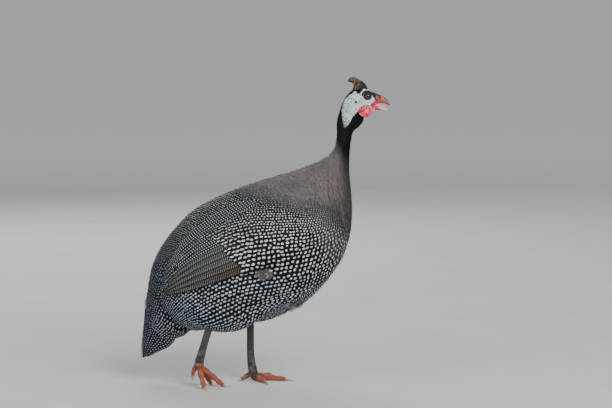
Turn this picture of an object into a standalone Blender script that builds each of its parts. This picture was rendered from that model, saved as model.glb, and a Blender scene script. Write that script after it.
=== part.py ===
"""A guinea fowl, life size, walking: the left foot carries it and the right foot pushes off.

Metres, +Z up. The bird faces +X and y = 0 is its plane of symmetry, so -Y is its right side.
The floor is z = 0, and the origin lies on it under the middle of the bird's length.
"""

import math

import bmesh
import bpy
import numpy as np
from mathutils import Matrix, Vector

GAP = 0.0003  # left between solids that touch
CLEAR = 0.0005  # how far a cutter stands off the solid it copies
SKIN_SIDES = 28  # points round the trunk, the neck and the head

# The trunk, neck and head as one form, from the root of the tail to the root of the bill.
# Each station: back (x, z), belly (x, z), half width, and how far the widest level sits below the middle.
BODY = (
    (-0.1780, 0.1356, -0.1150, 0.0780, 0.0320, 0.00),
    (-0.1767, 0.1563, -0.1060, 0.0770, 0.0440, 0.05),
    (-0.1696, 0.1831, -0.0930, 0.0785, 0.0550, 0.10),
    (-0.1560, 0.2091, -0.0760, 0.0815, 0.0630, 0.15),
    (-0.1373, 0.2338, -0.0575, 0.0860, 0.0680, 0.22),
    (-0.1120, 0.2592, -0.0392, 0.0890, 0.0715, 0.27),
    (-0.0797, 0.2783, -0.0210, 0.0950, 0.0735, 0.28),
    (-0.0426, 0.2941, 0.0003, 0.1000, 0.0735, 0.28),
    (-0.0064, 0.3065, 0.0262, 0.1075, 0.0718, 0.25),
    (0.0289, 0.3169, 0.0550, 0.1177, 0.0680, 0.19),
    (0.0566, 0.3260, 0.0808, 0.1391, 0.0620, 0.12),
    (0.0746, 0.3328, 0.1020, 0.1651, 0.0545, 0.10),
    (0.0882, 0.3389, 0.1179, 0.1910, 0.0465, 0.10),
    (0.0972, 0.3457, 0.1276, 0.2230, 0.0385, 0.10),
    (0.1025, 0.3524, 0.1310, 0.2549, 0.0315, 0.08),
    (0.1055, 0.3592, 0.1294, 0.2882, 0.0245, 0.05),
    (0.1070, 0.3668, 0.1263, 0.3185, 0.0180, 0.00),
    (0.1077, 0.3773, 0.1266, 0.3442, 0.0132, 0.00),
    (0.1074, 0.3863, 0.1285, 0.3640, 0.0116, 0.00),
    (0.1078, 0.3950, 0.1318, 0.3790, 0.0112, 0.00),
    (0.1104, 0.4059, 0.1400, 0.3865, 0.0117, 0.00),
    (0.1137, 0.4164, 0.1475, 0.3955, 0.0125, 0.00),
    (0.1174, 0.4254, 0.1500, 0.4030, 0.0132, 0.00),
    (0.1226, 0.4336, 0.1515, 0.4075, 0.0137, 0.00),
    (0.1301, 0.4411, 0.1535, 0.4090, 0.0139, 0.00),
    (0.1391, 0.4441, 0.1560, 0.4098, 0.0137, 0.00),
    (0.1481, 0.4449, 0.1587, 0.4104, 0.0130, 0.00),
    (0.1549, 0.4426, 0.1617, 0.4108, 0.0114, 0.00),
    (0.1609, 0.4395, 0.1640, 0.4111, 0.0090, 0.00),
    (0.1656, 0.4370, 0.1660, 0.4114, 0.0066, 0.00),
)
NECK_FROM, HEAD_FROM, BODY_END = 14.6, 20.3, len(BODY) - 1
TRUNK_RINGS, NECK_RINGS, HEAD_RINGS = 30, 14, 20

# The helmet: front (x, z), rear (x, z) and half thickness, from inside the crown to the tip.
HELMET = (
    (0.1540, 0.4360, 0.1290, 0.4330, 0.0064),
    (0.1543, 0.4415, 0.1286, 0.4385, 0.0062),
    (0.1532, 0.4456, 0.1305, 0.4425, 0.0052),
    (0.1504, 0.4501, 0.1322, 0.4468, 0.0044),
    (0.1466, 0.4540, 0.1320, 0.4503, 0.0039),
    (0.1413, 0.4576, 0.1300, 0.4530, 0.0034),
    (0.1361, 0.4604, 0.1268, 0.4538, 0.0029),
    (0.1308, 0.4613, 0.1245, 0.4541, 0.0024),
    (0.1262, 0.4604, 0.1230, 0.4553, 0.0016),
)

# Each half of the bill: ridge (x, z), lower edge (x, z) and half width, from the face to the tip.
UPPER_BILL = (
    (0.1660, 0.4366, 0.1664, 0.4216, 0.0064),
    (0.1707, 0.4350, 0.1709, 0.4222, 0.0060),
    (0.1767, 0.4323, 0.1767, 0.4221, 0.0051),
    (0.1820, 0.4284, 0.1816, 0.4208, 0.0038),
    (0.1857, 0.4242, 0.1850, 0.4189, 0.0024),
    (0.1878, 0.4196, 0.1872, 0.4170, 0.0010),
)
LOWER_BILL = (
    (0.1664, 0.4186, 0.1665, 0.4119, 0.0058),
    (0.1722, 0.4180, 0.1723, 0.4115, 0.0052),
    (0.1795, 0.4158, 0.1792, 0.4108, 0.0038),
    (0.1845, 0.4132, 0.1842, 0.4111, 0.0014),
)
EYE = dict(x=0.1522, y=0.0076, z=0.4322, radius=0.0055)
LID = dict(y=0.0113, radius=0.0047, thick=0.0010)
EAR = dict(x=0.1353, y=0.0142, z=0.4243, radius=0.0016)
NOSTRIL = dict(x=0.1695, y=0.0068, z=0.4312, length=0.0030, height=0.0012)
WATTLE = dict(x=0.1512, z=0.4120, length=0.0122, height=0.0098, thick=0.0019, top_y=0.0062, flare=0.42)

# The folded wing, laid on the trunk: its lower and upper edge seen from the side, shoulder to tip.
WING_LOWER = (
    (0.066, 0.225), (0.050, 0.202), (0.025, 0.188), (-0.002, 0.181), (-0.029, 0.173),
    (-0.063, 0.163), (-0.098, 0.151), (-0.125, 0.142), (-0.148, 0.135),
)
WING_UPPER = (
    (0.066, 0.245), (0.052, 0.268), (0.025, 0.279), (-0.004, 0.277), (-0.032, 0.269),
    (-0.059, 0.257), (-0.1035, 0.229), (-0.136, 0.192), (-0.156, 0.152),
)
WING_ROWS = 9  # secondaries, one to a row of the fan
WING_CORE_END = 0.50  # share of the wing's length that the solid arm and its small coverts take
WING_INNER = 0.0006  # the wing's inner face above the trunk
WING_CORE_HEIGHT = 0.0078

# The tail fan: its ridge and its outer edge seen from the side, root to tip, and its half width.
TAIL_RIDGE = ((-0.1780, 0.1356), (-0.1798, 0.0980), (-0.1843, 0.0570), (-0.1842, 0.0350))
TAIL_EDGE = ((-0.1150, 0.0780), (-0.1370, 0.0610), (-0.1600, 0.0500), (-0.1780, 0.0400))
TAIL_HALF_WIDTH = (0.0320, 0.0270, 0.0205, 0.0150)
TAIL_PAIRS = 6

VANE_THICK = 0.0007
VANE_STEP = 0.00115  # rise from one vane to the next that lies over it
VANE_SHAPE = (  # share of the length, share of the width
    (0.00, 0.30), (0.18, 0.75), (0.42, 1.00), (0.70, 1.00), (0.86, 0.86), (0.95, 0.62), (1.00, 0.28),
)

# The feathered thighs: centre and half sizes of each lobe, and how many degrees its front is raised.
THIGH = dict(
    left=dict(centre=(-0.002, 0.032, 0.1165), half=(0.060, 0.031, 0.0300), raised=17.0),
    right=dict(centre=(-0.058, -0.034, 0.1160), half=(0.060, 0.031, 0.0370), raised=4.0),
)

# The shanks, from inside the thigh to the ankle: points of the middle line and half depth.
SHANK = dict(
    left=((-0.0240, 0.0130, 0.0980), (-0.0238, 0.0115, 0.0690), (-0.0235, 0.0090, 0.0390), (-0.0208, 0.0065, 0.0160)),
    right=((-0.0805, -0.0430, 0.0980), (-0.0866, -0.0450, 0.0790), (-0.0930, -0.0475, 0.0570), (-0.0985, -0.0500, 0.0370)),
)
SHANK_DEPTH = (0.0056, 0.0053, 0.0055, 0.0068)
SHANK_WIDTH = 0.86  # of its depth
SCUTES = 10

# Toes: points of the middle line with the half height there, then the tip of the claw.
TOES = dict(
    left=dict(
        middle=(
            (-0.0180, 0.0063, 0.0058, 0.0054), (-0.0040, 0.0043, 0.0042, 0.0046), (0.0100, 0.0015, 0.0038, 0.0042),
            (0.0215, -0.0008, 0.0034, 0.0038), (0.0300, -0.0025, 0.0024, 0.0029), (0.0425, -0.0048, 0.0006),
        ),
        inner=(
            (-0.0180, 0.0063, 0.0058, 0.0050), (-0.0100, -0.0070, 0.0039, 0.0043), (-0.0030, -0.0190, 0.0032, 0.0036),
            (0.0000, -0.0250, 0.0024, 0.0028), (0.0045, -0.0350, 0.0006),
        ),
        outer=(
            (-0.0182, 0.0065, 0.0058, 0.0049), (-0.0070, 0.0180, 0.0039, 0.0043), (0.0020, 0.0280, 0.0032, 0.0036),
            (0.0060, 0.0335, 0.0024, 0.0028), (0.0120, 0.0420, 0.0006),
        ),
        hind=(
            (-0.0205, 0.0060, 0.0110, 0.0042), (-0.0300, 0.0015, 0.0066, 0.0034), (-0.0370, -0.0020, 0.0022, 0.0026),
            (-0.0450, -0.0060, 0.0006),
        ),
    ),
    right=dict(
        middle=(
            (-0.0985, -0.0500, 0.0310, 0.0052), (-0.0880, -0.0500, 0.0235, 0.0044), (-0.0775, -0.0500, 0.0150, 0.0041),
            (-0.0685, -0.0500, 0.0075, 0.0037), (-0.0625, -0.0500, 0.0024, 0.0029), (-0.0500, -0.0500, 0.0006),
        ),
        inner=(
            (-0.0985, -0.0500, 0.0310, 0.0048), (-0.0910, -0.0425, 0.0190, 0.0042), (-0.0850, -0.0370, 0.0085, 0.0036),
            (-0.0820, -0.0345, 0.0024, 0.0028), (-0.0725, -0.0300, 0.0006),
        ),
        outer=(
            (-0.0985, -0.0500, 0.0310, 0.0048), (-0.0950, -0.0580, 0.0190, 0.0042), (-0.0920, -0.0645, 0.0085, 0.0036),
            (-0.0905, -0.0680, 0.0024, 0.0028), (-0.0850, -0.0770, 0.0006),
        ),
        hind=(
            (-0.1005, -0.0495, 0.0350, 0.0040), (-0.1065, -0.0470, 0.0250, 0.0033), (-0.1085, -0.0455, 0.0170, 0.0025),
            (-0.1090, -0.0440, 0.0080),
        ),
    ),
)
CLAW_TIP = 0.0006

# Colour, roughness
PAINTS = dict(
    spotted=((0.070, 0.072, 0.080, 1), 0.75),
    lilac=((0.190, 0.170, 0.165, 1), 0.80),
    white_skin=((0.72, 0.80, 0.78, 1), 0.55),
    red_skin=((0.80, 0.10, 0.12, 1), 0.45),
    helmet_horn=((0.20, 0.10, 0.05, 1), 0.50),
    bill_horn=((0.42, 0.12, 0.09, 1), 0.40),
    eye=((0.020, 0.012, 0.010, 1), 0.08),
    shank=((0.075, 0.068, 0.072, 1), 0.55),
    toes=((0.52, 0.13, 0.07, 1), 0.60),
    claw=((0.55, 0.45, 0.36, 1), 0.45),
)
paint_of = {}
guinea_fowl = None


def clear_scene():
    """Removes what the start-up scene holds."""
    for old in list(bpy.data.objects):
        bpy.data.objects.remove(old)


def mix_paints():
    """One plain material for each finish of the bird."""
    for name, (colour, roughness) in PAINTS.items():
        material = bpy.data.materials.new(name)
        material.use_nodes = True
        shader = material.node_tree.nodes["Principled BSDF"]
        shader.inputs["Base Color"].default_value = colour
        shader.inputs["Roughness"].default_value = roughness
        paint_of[name] = material


def spline(rows, at):
    """The smooth curve through the rows, at positions counted in rows."""
    rows = np.asarray(rows, float)
    at = np.clip(np.asarray(at, float), 0, len(rows) - 1)
    first = np.minimum(at.astype(int), len(rows) - 2)
    t = (at - first)[..., None]
    a, b = rows[np.maximum(first - 1, 0)], rows[first]
    c, d = rows[first + 1], rows[np.minimum(first + 2, len(rows) - 1)]
    return 0.5 * (2 * b + (c - a) * t + (2 * a - 5 * b + 4 * c - d) * t**2 + (3 * b - a - 3 * c + d) * t**3)


def section(stations, at, angle, swell=0.0):
    """A point of a form given by stations. Angle 0 is its upper line, and pi / 2 its left side."""
    s = spline(stations, at)
    upper, lower = s[..., 0:2], s[..., 2:4]
    arm = (upper - lower) / 2
    arm = arm * (1 + swell / np.linalg.norm(arm, axis=-1, keepdims=True))
    droop = s[..., 5] if s.shape[-1] > 5 else 0.0
    xz = (upper + lower) / 2 + arm * np.cos(angle)[..., None]
    y = (s[..., 4] + swell) * np.sin(angle) * (1 - droop * np.cos(angle))
    return np.stack([xz[..., 0], y, xz[..., 1]], axis=-1)


def new_object(name, points, faces, paint, smooth=True):
    """A mesh object with its faces pointing out."""
    mesh = bpy.data.meshes.new(name)
    mesh.from_pydata([tuple(p) for p in points], [], [tuple(int(i) for i in f) for f in faces])
    work = bmesh.new()
    work.from_mesh(mesh)
    bmesh.ops.recalc_face_normals(work, faces=work.faces)
    work.to_mesh(mesh)
    work.free()
    mesh.materials.append(paint_of[paint])
    if smooth:
        mesh.shade_smooth()
        mesh.set_sharp_from_angle(angle=math.radians(50))
    made = bpy.data.objects.new(name, mesh)
    guinea_fowl.objects.link(made)
    return made


def loft(name, rings, paint):
    """A closed form through rings of equal counts, with a flat face at each end."""
    rings = np.asarray(rings, float)
    count, sides = rings.shape[:2]
    faces = [list(range(sides))[::-1], [(count - 1) * sides + k for k in range(sides)]]
    for i in range(count - 1):
        for k in range(sides):
            after = (k + 1) % sides
            faces.append([i * sides + k, i * sides + after, (i + 1) * sides + after, (i + 1) * sides + k])
    return new_object(name, rings.reshape(-1, 3), faces, paint)


def slab(name, inner, outer, paint):
    """A thin closed form between two grids of points, split into triangles alike on both faces."""
    rows, columns = inner.shape[:2]
    under = rows * columns
    faces = []
    for i in range(rows - 1):
        for k in range(columns - 1):
            a, b = i * columns + k, i * columns + k + 1
            c, d = a + columns, b + columns
            faces += [(a, b, c), (b, d, c), (a + under, c + under, b + under), (b + under, c + under, d + under)]
    rim = [k for k in range(columns)]
    rim += [i * columns + columns - 1 for i in range(1, rows)]
    rim += [(rows - 1) * columns + k for k in range(columns - 2, -1, -1)]
    rim += [i * columns for i in range(rows - 2, 0, -1)]
    for here, after in zip(rim, rim[1:] + rim[:1]):
        faces += [(here, here + under, after), (after, here + under, after + under)]
    points = np.concatenate([inner.reshape(-1, 3), outer.reshape(-1, 3)])
    return new_object(name, points, faces, paint)


def apply_modifiers(made):
    """Makes the evaluated shape the object's own mesh, and keeps only its largest closed surface."""
    graph = bpy.context.evaluated_depsgraph_get()
    mesh = bpy.data.meshes.new_from_object(made.evaluated_get(graph))
    made.modifiers.clear()
    made.data = mesh
    work = bmesh.new()
    work.from_mesh(mesh)
    left, islands = set(work.verts), []
    while left:
        island, border = set(), {left.pop()}
        while border:
            vertex = border.pop()
            island.add(vertex)
            near = {edge.other_vert(vertex) for edge in vertex.link_edges} & left
            left -= near
            border |= near
        islands.append(island)
    size = {id(island): volume_of(island) for island in islands}
    largest = max(islands, key=lambda island: size[id(island)])
    scraps = [v for island in islands if island is not largest for v in island]
    bmesh.ops.delete(work, geom=scraps, context="VERTS")
    bmesh.ops.dissolve_degenerate(work, edges=work.edges, dist=1e-6)
    work.to_mesh(mesh)
    work.free()
    return made


def volume_of(island):
    """The volume inside one closed surface of a bmesh."""
    total = 0.0
    for face in {face for vertex in island for face in vertex.link_faces}:
        corners = [v.co for v in face.verts]
        for second, third in zip(corners[1:], corners[2:]):
            total += corners[0].dot(second.cross(third)) / 6
    return total


def combine(made, others, operation, solver="MANIFOLD"):
    """Joins the others to a form, or cuts them from it, and removes them."""
    group = bpy.data.collections.new(made.name + "_pieces")
    bpy.context.scene.collection.children.link(group)
    for other in others:
        guinea_fowl.objects.unlink(other)
        group.objects.link(other)
    boolean = made.modifiers.new("pieces", "BOOLEAN")
    boolean.operation = operation
    boolean.solver = solver
    boolean.operand_type = "COLLECTION"
    boolean.collection = group
    bpy.context.view_layer.update()
    apply_modifiers(made)
    for other in others:
        bpy.data.objects.remove(other)
    bpy.data.collections.remove(group)
    return made


def ball(name, centre, half, paint, segments=16, rings=10, raised=0.0):
    """An ellipsoid, with its front raised by some degrees."""
    mesh = bpy.data.meshes.new(name)
    work = bmesh.new()
    bmesh.ops.create_uvsphere(work, u_segments=segments, v_segments=rings, radius=1.0)
    bmesh.ops.scale(work, vec=Vector(half), verts=work.verts)
    turn = Matrix.Rotation(-math.radians(raised), 3, "Y")
    bmesh.ops.rotate(work, cent=Vector((0, 0, 0)), matrix=turn, verts=work.verts)
    bmesh.ops.translate(work, vec=Vector(centre), verts=work.verts)
    work.to_mesh(mesh)
    work.free()
    mesh.materials.append(paint_of[paint])
    mesh.shade_smooth()
    made = bpy.data.objects.new(name, mesh)
    guinea_fowl.objects.link(made)
    return made


def body_piece(name, start, end, rings, paint, swell=0.0, start_gap=0.0):
    """A length of the trunk, neck or head. A swollen one cuts clear what lies against it."""
    at = np.linspace(start, end, rings)
    angles = np.arange(SKIN_SIDES) * 2 * math.pi / SKIN_SIDES
    points = section(BODY, np.repeat(at[:, None], SKIN_SIDES, 1), np.repeat(angles[None], rings, 0), swell)
    ahead = spline(BODY, end)
    if start_gap or swell:
        for ring, sign, amount in ((0, 1, start_gap - swell), (-1, 1, swell)):
            side = points[ring][SKIN_SIDES // 4] - points[ring].mean(0)
            up = points[ring][0] - points[ring].mean(0)
            out = np.cross(side, up)
            points[ring] += sign * amount * out / np.linalg.norm(out)
    assert ahead.shape == (6,)
    return loft(name, points, paint)


def onto_side(x, z, height, side):
    """The point of the trunk's side seen at (x, z), raised along the surface's normal. side is -1 for the right."""
    stations = np.linspace(0, NECK_FROM, 400)
    lines = spline(BODY, stations)
    shape = np.broadcast(x, z).shape
    x, z = np.broadcast_to(x, shape).ravel(), np.broadcast_to(z, shape).ravel()
    reach = lines[:, 2:4] - lines[:, 0:2]
    across = reach[:, 0] * (z[:, None] - lines[:, 1]) - reach[:, 1] * (x[:, None] - lines[:, 0])
    before = np.argmax(across[:, 1:] * across[:, :-1] <= 0, axis=1)
    rows = np.arange(len(x))
    share = across[rows, before] / (across[rows, before] - across[rows, before + 1])
    at = stations[before] + share * (stations[1] - stations[0])
    s = spline(BODY, at)
    arm = s[:, 2:4] - s[:, 0:2]
    down = ((x - s[:, 0]) * arm[:, 0] + (z - s[:, 1]) * arm[:, 1]) / (arm**2).sum(1)
    angle = side * np.arccos(1 - 2 * np.clip(down, 0.004, 0.996))
    small = 1e-3
    here = section(BODY, at, angle)
    along = section(BODY, at + small, angle) - section(BODY, at - small, angle)
    around = section(BODY, at, angle + small) - section(BODY, at, angle - small)
    normal = np.cross(around, along)
    normal /= np.linalg.norm(normal, axis=1, keepdims=True)
    normal *= np.sign((normal * (here - [0, 0, 0])).sum(1) - normal[:, 0] * s[:, 0] - normal[:, 2] * s[:, 1] + 1e-12)[:, None]
    outward = np.sign(normal[:, 1]) == side
    normal[~outward] *= -1
    height = np.broadcast_to(height, shape).ravel()
    return (here + normal * height[:, None]).reshape(shape + (3,))


def wing_chart(side):
    """Places a point of the wing by its share of the wing's length, its row in the fan and its height."""

    def place(along, row, height):
        along, row, height = np.broadcast_arrays(along, row, height)
        lower = spline(WING_LOWER, along * (len(WING_LOWER) - 1))
        upper = spline(WING_UPPER, along * (len(WING_UPPER) - 1))
        xz = lower + (upper - lower) * (row / WING_ROWS)[..., None]
        return onto_side(xz[..., 0], xz[..., 1], height, side)

    return place


def tail_chart(along, row, height):
    """Places a point of the tail: row 0 is its right edge, TAIL_PAIRS its ridge and twice that its left edge."""
    along, row, height = np.broadcast_arrays(along, row, height)

    def bare(along, row):
        turn = math.pi / 2 * row / TAIL_PAIRS
        last = len(TAIL_RIDGE) - 1
        ridge, edge = spline(TAIL_RIDGE, along * last), spline(TAIL_EDGE, along * last)
        width = spline(np.array(TAIL_HALF_WIDTH)[:, None], along * last)[..., 0]
        xz = edge + (ridge - edge) * np.sin(turn)[..., None]
        return np.stack([xz[..., 0], -width * np.cos(turn), xz[..., 1]], axis=-1)

    small = 1e-3
    normal = np.cross(bare(along + small, row) - bare(along - small, row), bare(along, row + small) - bare(along, row - small))
    normal /= np.linalg.norm(normal, axis=-1, keepdims=True)
    outward = normal[..., 1] * np.cos(math.pi / 2 * row / TAIL_PAIRS) * -1 - normal[..., 0] * np.sin(math.pi / 2 * row / TAIL_PAIRS)
    normal *= np.sign(outward)[..., None]
    return bare(along, row) + normal * height[..., None]


def vane(name, place, root, tip, row, width, low, paint, turn=1, most_row=None, level=False):
    """One flight feather. Its open edge follows the row, and the rest runs under the next vane, step by step.

    turn is -1 where the rows count the other way, most_row is where the hidden edge has to stop, and a level
    vane lies on top of the others with both edges open.
    """
    shape = np.array(VANE_SHAPE)
    along = root + (tip - root) * shape[:, 0]
    reach = width if most_row is None else min(width, abs(most_row - row))
    near = reach / 2 * (1 - shape[:, 1])
    far = reach / 2 * (1 + shape[:, 1])
    steps = np.stack([near, far], axis=1)
    rows = row + turn * steps
    high = low + VANE_STEP * (width - steps) * (0 if level else 1)
    along = np.repeat(along[:, None], 2, 1)
    inner = place(along, rows, high)
    outer = place(along, rows, high + VANE_THICK)
    return slab(name, inner, outer, paint)


def wing(name, side):
    """The folded wing: a solid arm under small coverts, with greater coverts and secondaries as vanes."""
    place = wing_chart(side)
    along = np.linspace(0.0, WING_CORE_END, 11)
    rows = np.linspace(0.0, WING_ROWS, 9)
    a, r = np.meshgrid(along, rows, indexing="ij")
    rise = np.clip(a / 0.16, 0, 1) * np.clip((WING_CORE_END + 0.04 - a) / 0.16, 0, 1)
    rise = rise * rise * (3 - 2 * rise)
    crown = np.clip(np.minimum(r, WING_ROWS - r) / 0.9, 0, 1) ** 0.5
    thickness = 0.0012 + (WING_CORE_HEIGHT - 0.0012) * rise * crown
    core = slab(name, place(a, r, -0.0020), place(a, r, WING_INNER + thickness), "spotted")
    vanes = []
    low = WING_INNER + 0.0004
    width = 2.3
    for i in range(WING_ROWS):
        tip = 0.985 - 0.012 * abs(i - 2)
        vanes.append(vane(f"secondary_{i}", place, 0.30, tip, i, width, low, "spotted", most_row=WING_ROWS + 0.9))
    low += VANE_STEP * width + VANE_THICK + 0.0004
    for i in range(WING_ROWS - 2):
        tip = 0.54 + 0.018 * i
        vanes.append(vane(f"covert_{i}", place, 0.26, tip, i + 0.4, 1.7, low, "spotted"))
    combine(core, vanes, "UNION", "MANIFOLD")
    trunk = body_piece("trunk_cutter", 0, NECK_FROM, TRUNK_RINGS, "spotted", swell=CLEAR)
    return combine(core, [trunk], "DIFFERENCE")


def tail():
    """The tail: a wedge of coverts with steering feathers and upper coverts over it, folded like a roof."""
    rings = []
    rows = np.linspace(0, 2 * TAIL_PAIRS, 15)
    for along, height in ((0.0, 0.0), (0.10, 0.0028), (0.25, 0.0026), (0.42, 0.0), (0.58, -0.0022), (0.72, -0.0045)):
        rings.append(tail_chart(np.full(15, along), rows, np.full(15, height)))
    rings = np.array(rings)
    away = np.cross(rings[0][0] - rings[0][7], rings[0][14] - rings[0][7])
    rings[0] += GAP * away / np.linalg.norm(away) * np.sign(away[2] * -1)
    core = loft("tail", rings, "spotted")
    vanes = []
    low, width = 0.0002, 2.2
    for i in range(TAIL_PAIRS):
        tip = 0.985 - 0.03 * (TAIL_PAIRS - 1 - i) / TAIL_PAIRS
        for turn, row in ((1, i), (-1, 2 * TAIL_PAIRS - i)):
            vanes.append(vane(f"rectrix_{i}_{turn}", tail_chart, 0.12, tip, row, width, low, "spotted", turn, TAIL_PAIRS - 0.14 * turn))
    ridge = low + VANE_STEP * (width + 1)
    vanes.append(vane("rectrix_middle", tail_chart, 0.12, 0.995, TAIL_PAIRS - 0.8, 1.6, ridge, "spotted", level=True))
    return combine(core, vanes, "UNION", "MANIFOLD")


def thigh(side):
    """The feathered thigh, cut clear of the trunk."""
    spec = THIGH[side]
    lobe = ball(f"thigh_{side}", spec["centre"], spec["half"], "spotted", 24, 16, spec["raised"])
    trunk = body_piece("trunk_cutter", 0, NECK_FROM, TRUNK_RINGS, "spotted", swell=CLEAR)
    return combine(lobe, [trunk], "DIFFERENCE")


def thigh_cutter(side):
    spec = THIGH[side]
    half = [size + CLEAR for size in spec["half"]]
    return ball("thigh_cutter", spec["centre"], half, "spotted", 24, 16, spec["raised"])


def tube_rings(middle, depth, width, sides):
    """Rings round a line of points. depth runs fore and aft, and width across."""
    middle = np.asarray(middle, float)
    ahead = np.gradient(middle, axis=0)
    ahead /= np.linalg.norm(ahead, axis=1, keepdims=True)
    across = np.cross(ahead, np.where(np.abs(ahead[:, 2:3]) > 0.75, [[1.0, 0, 0]], [[0, 0, 1.0]]))
    across /= np.linalg.norm(across, axis=1, keepdims=True)
    front = np.cross(across, ahead)
    angles = (np.arange(sides) + 0.5) * 2 * math.pi / sides
    depth, width = np.asarray(depth)[..., None, None], np.asarray(width)[..., None, None]
    if depth.ndim == 2:
        depth, width = depth[None], width[None]
    return (
        middle[:, None]
        + front[:, None] * np.cos(angles)[None, :, None] * depth
        + across[:, None] * np.sin(angles)[None, :, None] * width
    )


def shank_line(side):
    """The shank's middle line, two points to each plate, and where they lie on it."""
    at = np.linspace(0, len(SHANK[side]) - 1, 2 * SCUTES)
    return spline(SHANK[side], at), at


def shank(side):
    """The bare shank, with the plates on its front as low steps."""
    middle, at = shank_line(side)
    depth = spline(np.array(SHANK_DEPTH)[:, None], at)[:, 0]
    step = np.where(np.arange(len(at)) % 2 == 0, 1.0, 1.09)
    rings = tube_rings(middle, depth, depth * SHANK_WIDTH, 10)
    centre = middle[:, None]
    forward = np.clip((rings - centre)[..., 0] / depth[:, None], 0, 1)[..., None]
    rings = centre + (rings - centre) * (1 + (step - 1)[:, None, None] * forward)
    made = loft(f"shank_{side}", rings, "shank")
    trunk = body_piece("trunk_cutter", 0, NECK_FROM, TRUNK_RINGS, "spotted", swell=CLEAR)
    return combine(made, [thigh_cutter(side), trunk], "DIFFERENCE")


def toe_rings(line, sides=8):
    """Rings along a toe, swollen at each joint and flat where they would go under the floor."""
    line = np.array(line)
    joints = len(line) - 1
    at = np.linspace(0, joints, 3 * joints + 1)
    smooth = spline(line, at)
    swell = 1 + 0.10 * np.cos(2 * math.pi * at)
    rings = tube_rings(smooth[:, :3], smooth[:, 3] * swell, smooth[:, 3] * swell * 0.95, sides)
    rings[..., 2] = np.maximum(rings[..., 2], 0.0)
    return rings


def claw(name, toe, tip):
    """A claw that starts just past the end of its toe, and bends down to its tip."""
    root, before = np.array(toe[-1][:3]), np.array(toe[-2][:3])
    tip = np.array(tip)
    ahead = (root - before) / np.linalg.norm(root - before)
    start = root + ahead * (0.0002 + GAP)
    size = toe[-1][3] * 0.80
    bend = start + ahead * 0.45 * np.linalg.norm(tip - start)
    at = np.linspace(0, 1, 6)[:, None]
    middle = (1 - at) ** 2 * start + 2 * at * (1 - at) * bend + at**2 * tip
    radius = size + (CLAW_TIP - size) * at[:, 0] ** 1.2
    rings = tube_rings(middle, radius, radius * 0.80, 8)
    rings[0] = rings[0] - ((rings[0] - start) @ ahead)[:, None] * ahead
    rings[..., 2] = np.maximum(rings[..., 2], 0.0)
    return loft(name, rings, "claw")


def foot(side):
    """The foot: three front toes and a hind toe joined at the ankle, with a claw on each."""
    toes = TOES[side]
    pieces = []
    for name, line in toes.items():
        claw(f"claw_{side}_{name}", line[:-1], line[-1])
        pieces.append(loft(f"toe_{name}", toe_rings(line[:-1]), "toes"))
    ankle = shank_line(side)[0]
    below = np.array(toes["middle"][0][:3])
    down = (ankle[-1] - ankle[-2]) / np.linalg.norm(ankle[-1] - ankle[-2])
    top = ankle[-1] + down * GAP
    rings = tube_rings(
        [top, (top + below) / 2, below, below + down * 0.003],
        [0.0064, 0.0072, 0.0070, 0.0052], [0.0056, 0.0064, 0.0066, 0.0050], 10,
    )
    rings[0] = rings[0] - ((rings[0] - top) @ down)[:, None] * down
    rings[..., 2] = np.maximum(rings[..., 2], 0.0)
    made = loft(f"foot_{side}", rings, "toes")
    return combine(made, pieces, "UNION")


def head():
    """The head with lids, eye sockets and ear openings."""
    made = body_piece("head", HEAD_FROM, BODY_END, HEAD_RINGS, "white_skin", start_gap=GAP)
    lids, hollows = [], []
    for side in (-1, 1):
        bpy.ops.mesh.primitive_torus_add(
            major_segments=16, minor_segments=6, major_radius=LID["radius"], minor_radius=LID["thick"],
            location=(EYE["x"], side * LID["y"], EYE["z"]), rotation=(math.pi / 2, 0, 0),
        )
        lid = bpy.context.object
        lid.name = f"lid_{side}"
        lid.data.transform(lid.matrix_basis)
        lid.matrix_basis.identity()
        lid.data.materials.append(paint_of["white_skin"])
        for collection in list(lid.users_collection):
            collection.objects.unlink(lid)
        guinea_fowl.objects.link(lid)
        lids.append(lid)
        socket = EYE["radius"] + GAP
        hollows.append(ball(f"socket_{side}", (EYE["x"], side * EYE["y"], EYE["z"]), (socket,) * 3, "eye", 14, 8))
        hollows.append(ball(f"ear_{side}", (EAR["x"], side * EAR["y"], EAR["z"]), (EAR["radius"],) * 3, "eye", 8, 6))
    combine(made, lids, "UNION")
    return combine(made, hollows, "DIFFERENCE")


def head_cutter():
    return body_piece("head_cutter", HEAD_FROM - 1, BODY_END, HEAD_RINGS + 4, "white_skin", swell=CLEAR)


def helmet():
    """The horny helmet on the crown, thin and bent back to its tip."""
    at = np.linspace(0, len(HELMET) - 1, 13)
    angles = np.arange(14) * 2 * math.pi / 14
    rings = section(HELMET, np.repeat(at[:, None], 14, 1), np.repeat(angles[None], 13, 0))
    return combine(loft("helmet", rings, "helmet_horn"), [head_cutter()], "DIFFERENCE")


def bill(name, stations, nostrils):
    """Half of the bill, met by the face on a flat."""
    at = np.linspace(0, len(stations) - 1, 9)
    angles = np.arange(14) * 2 * math.pi / 14
    rings = section(stations, np.repeat(at[:, None], 14, 1), np.repeat(angles[None], 9, 0))
    made = loft(name, rings, "bill_horn")
    cutters = [head_cutter()]
    if nostrils:
        for side in (-1, 1):
            half = (NOSTRIL["length"] / 2, NOSTRIL["height"], NOSTRIL["height"] / 2)
            cutters.append(ball(f"nostril_{side}", (NOSTRIL["x"], side * NOSTRIL["y"], NOSTRIL["z"]), half, "bill_horn", 10, 6))
    return combine(made, cutters, "DIFFERENCE")


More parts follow.
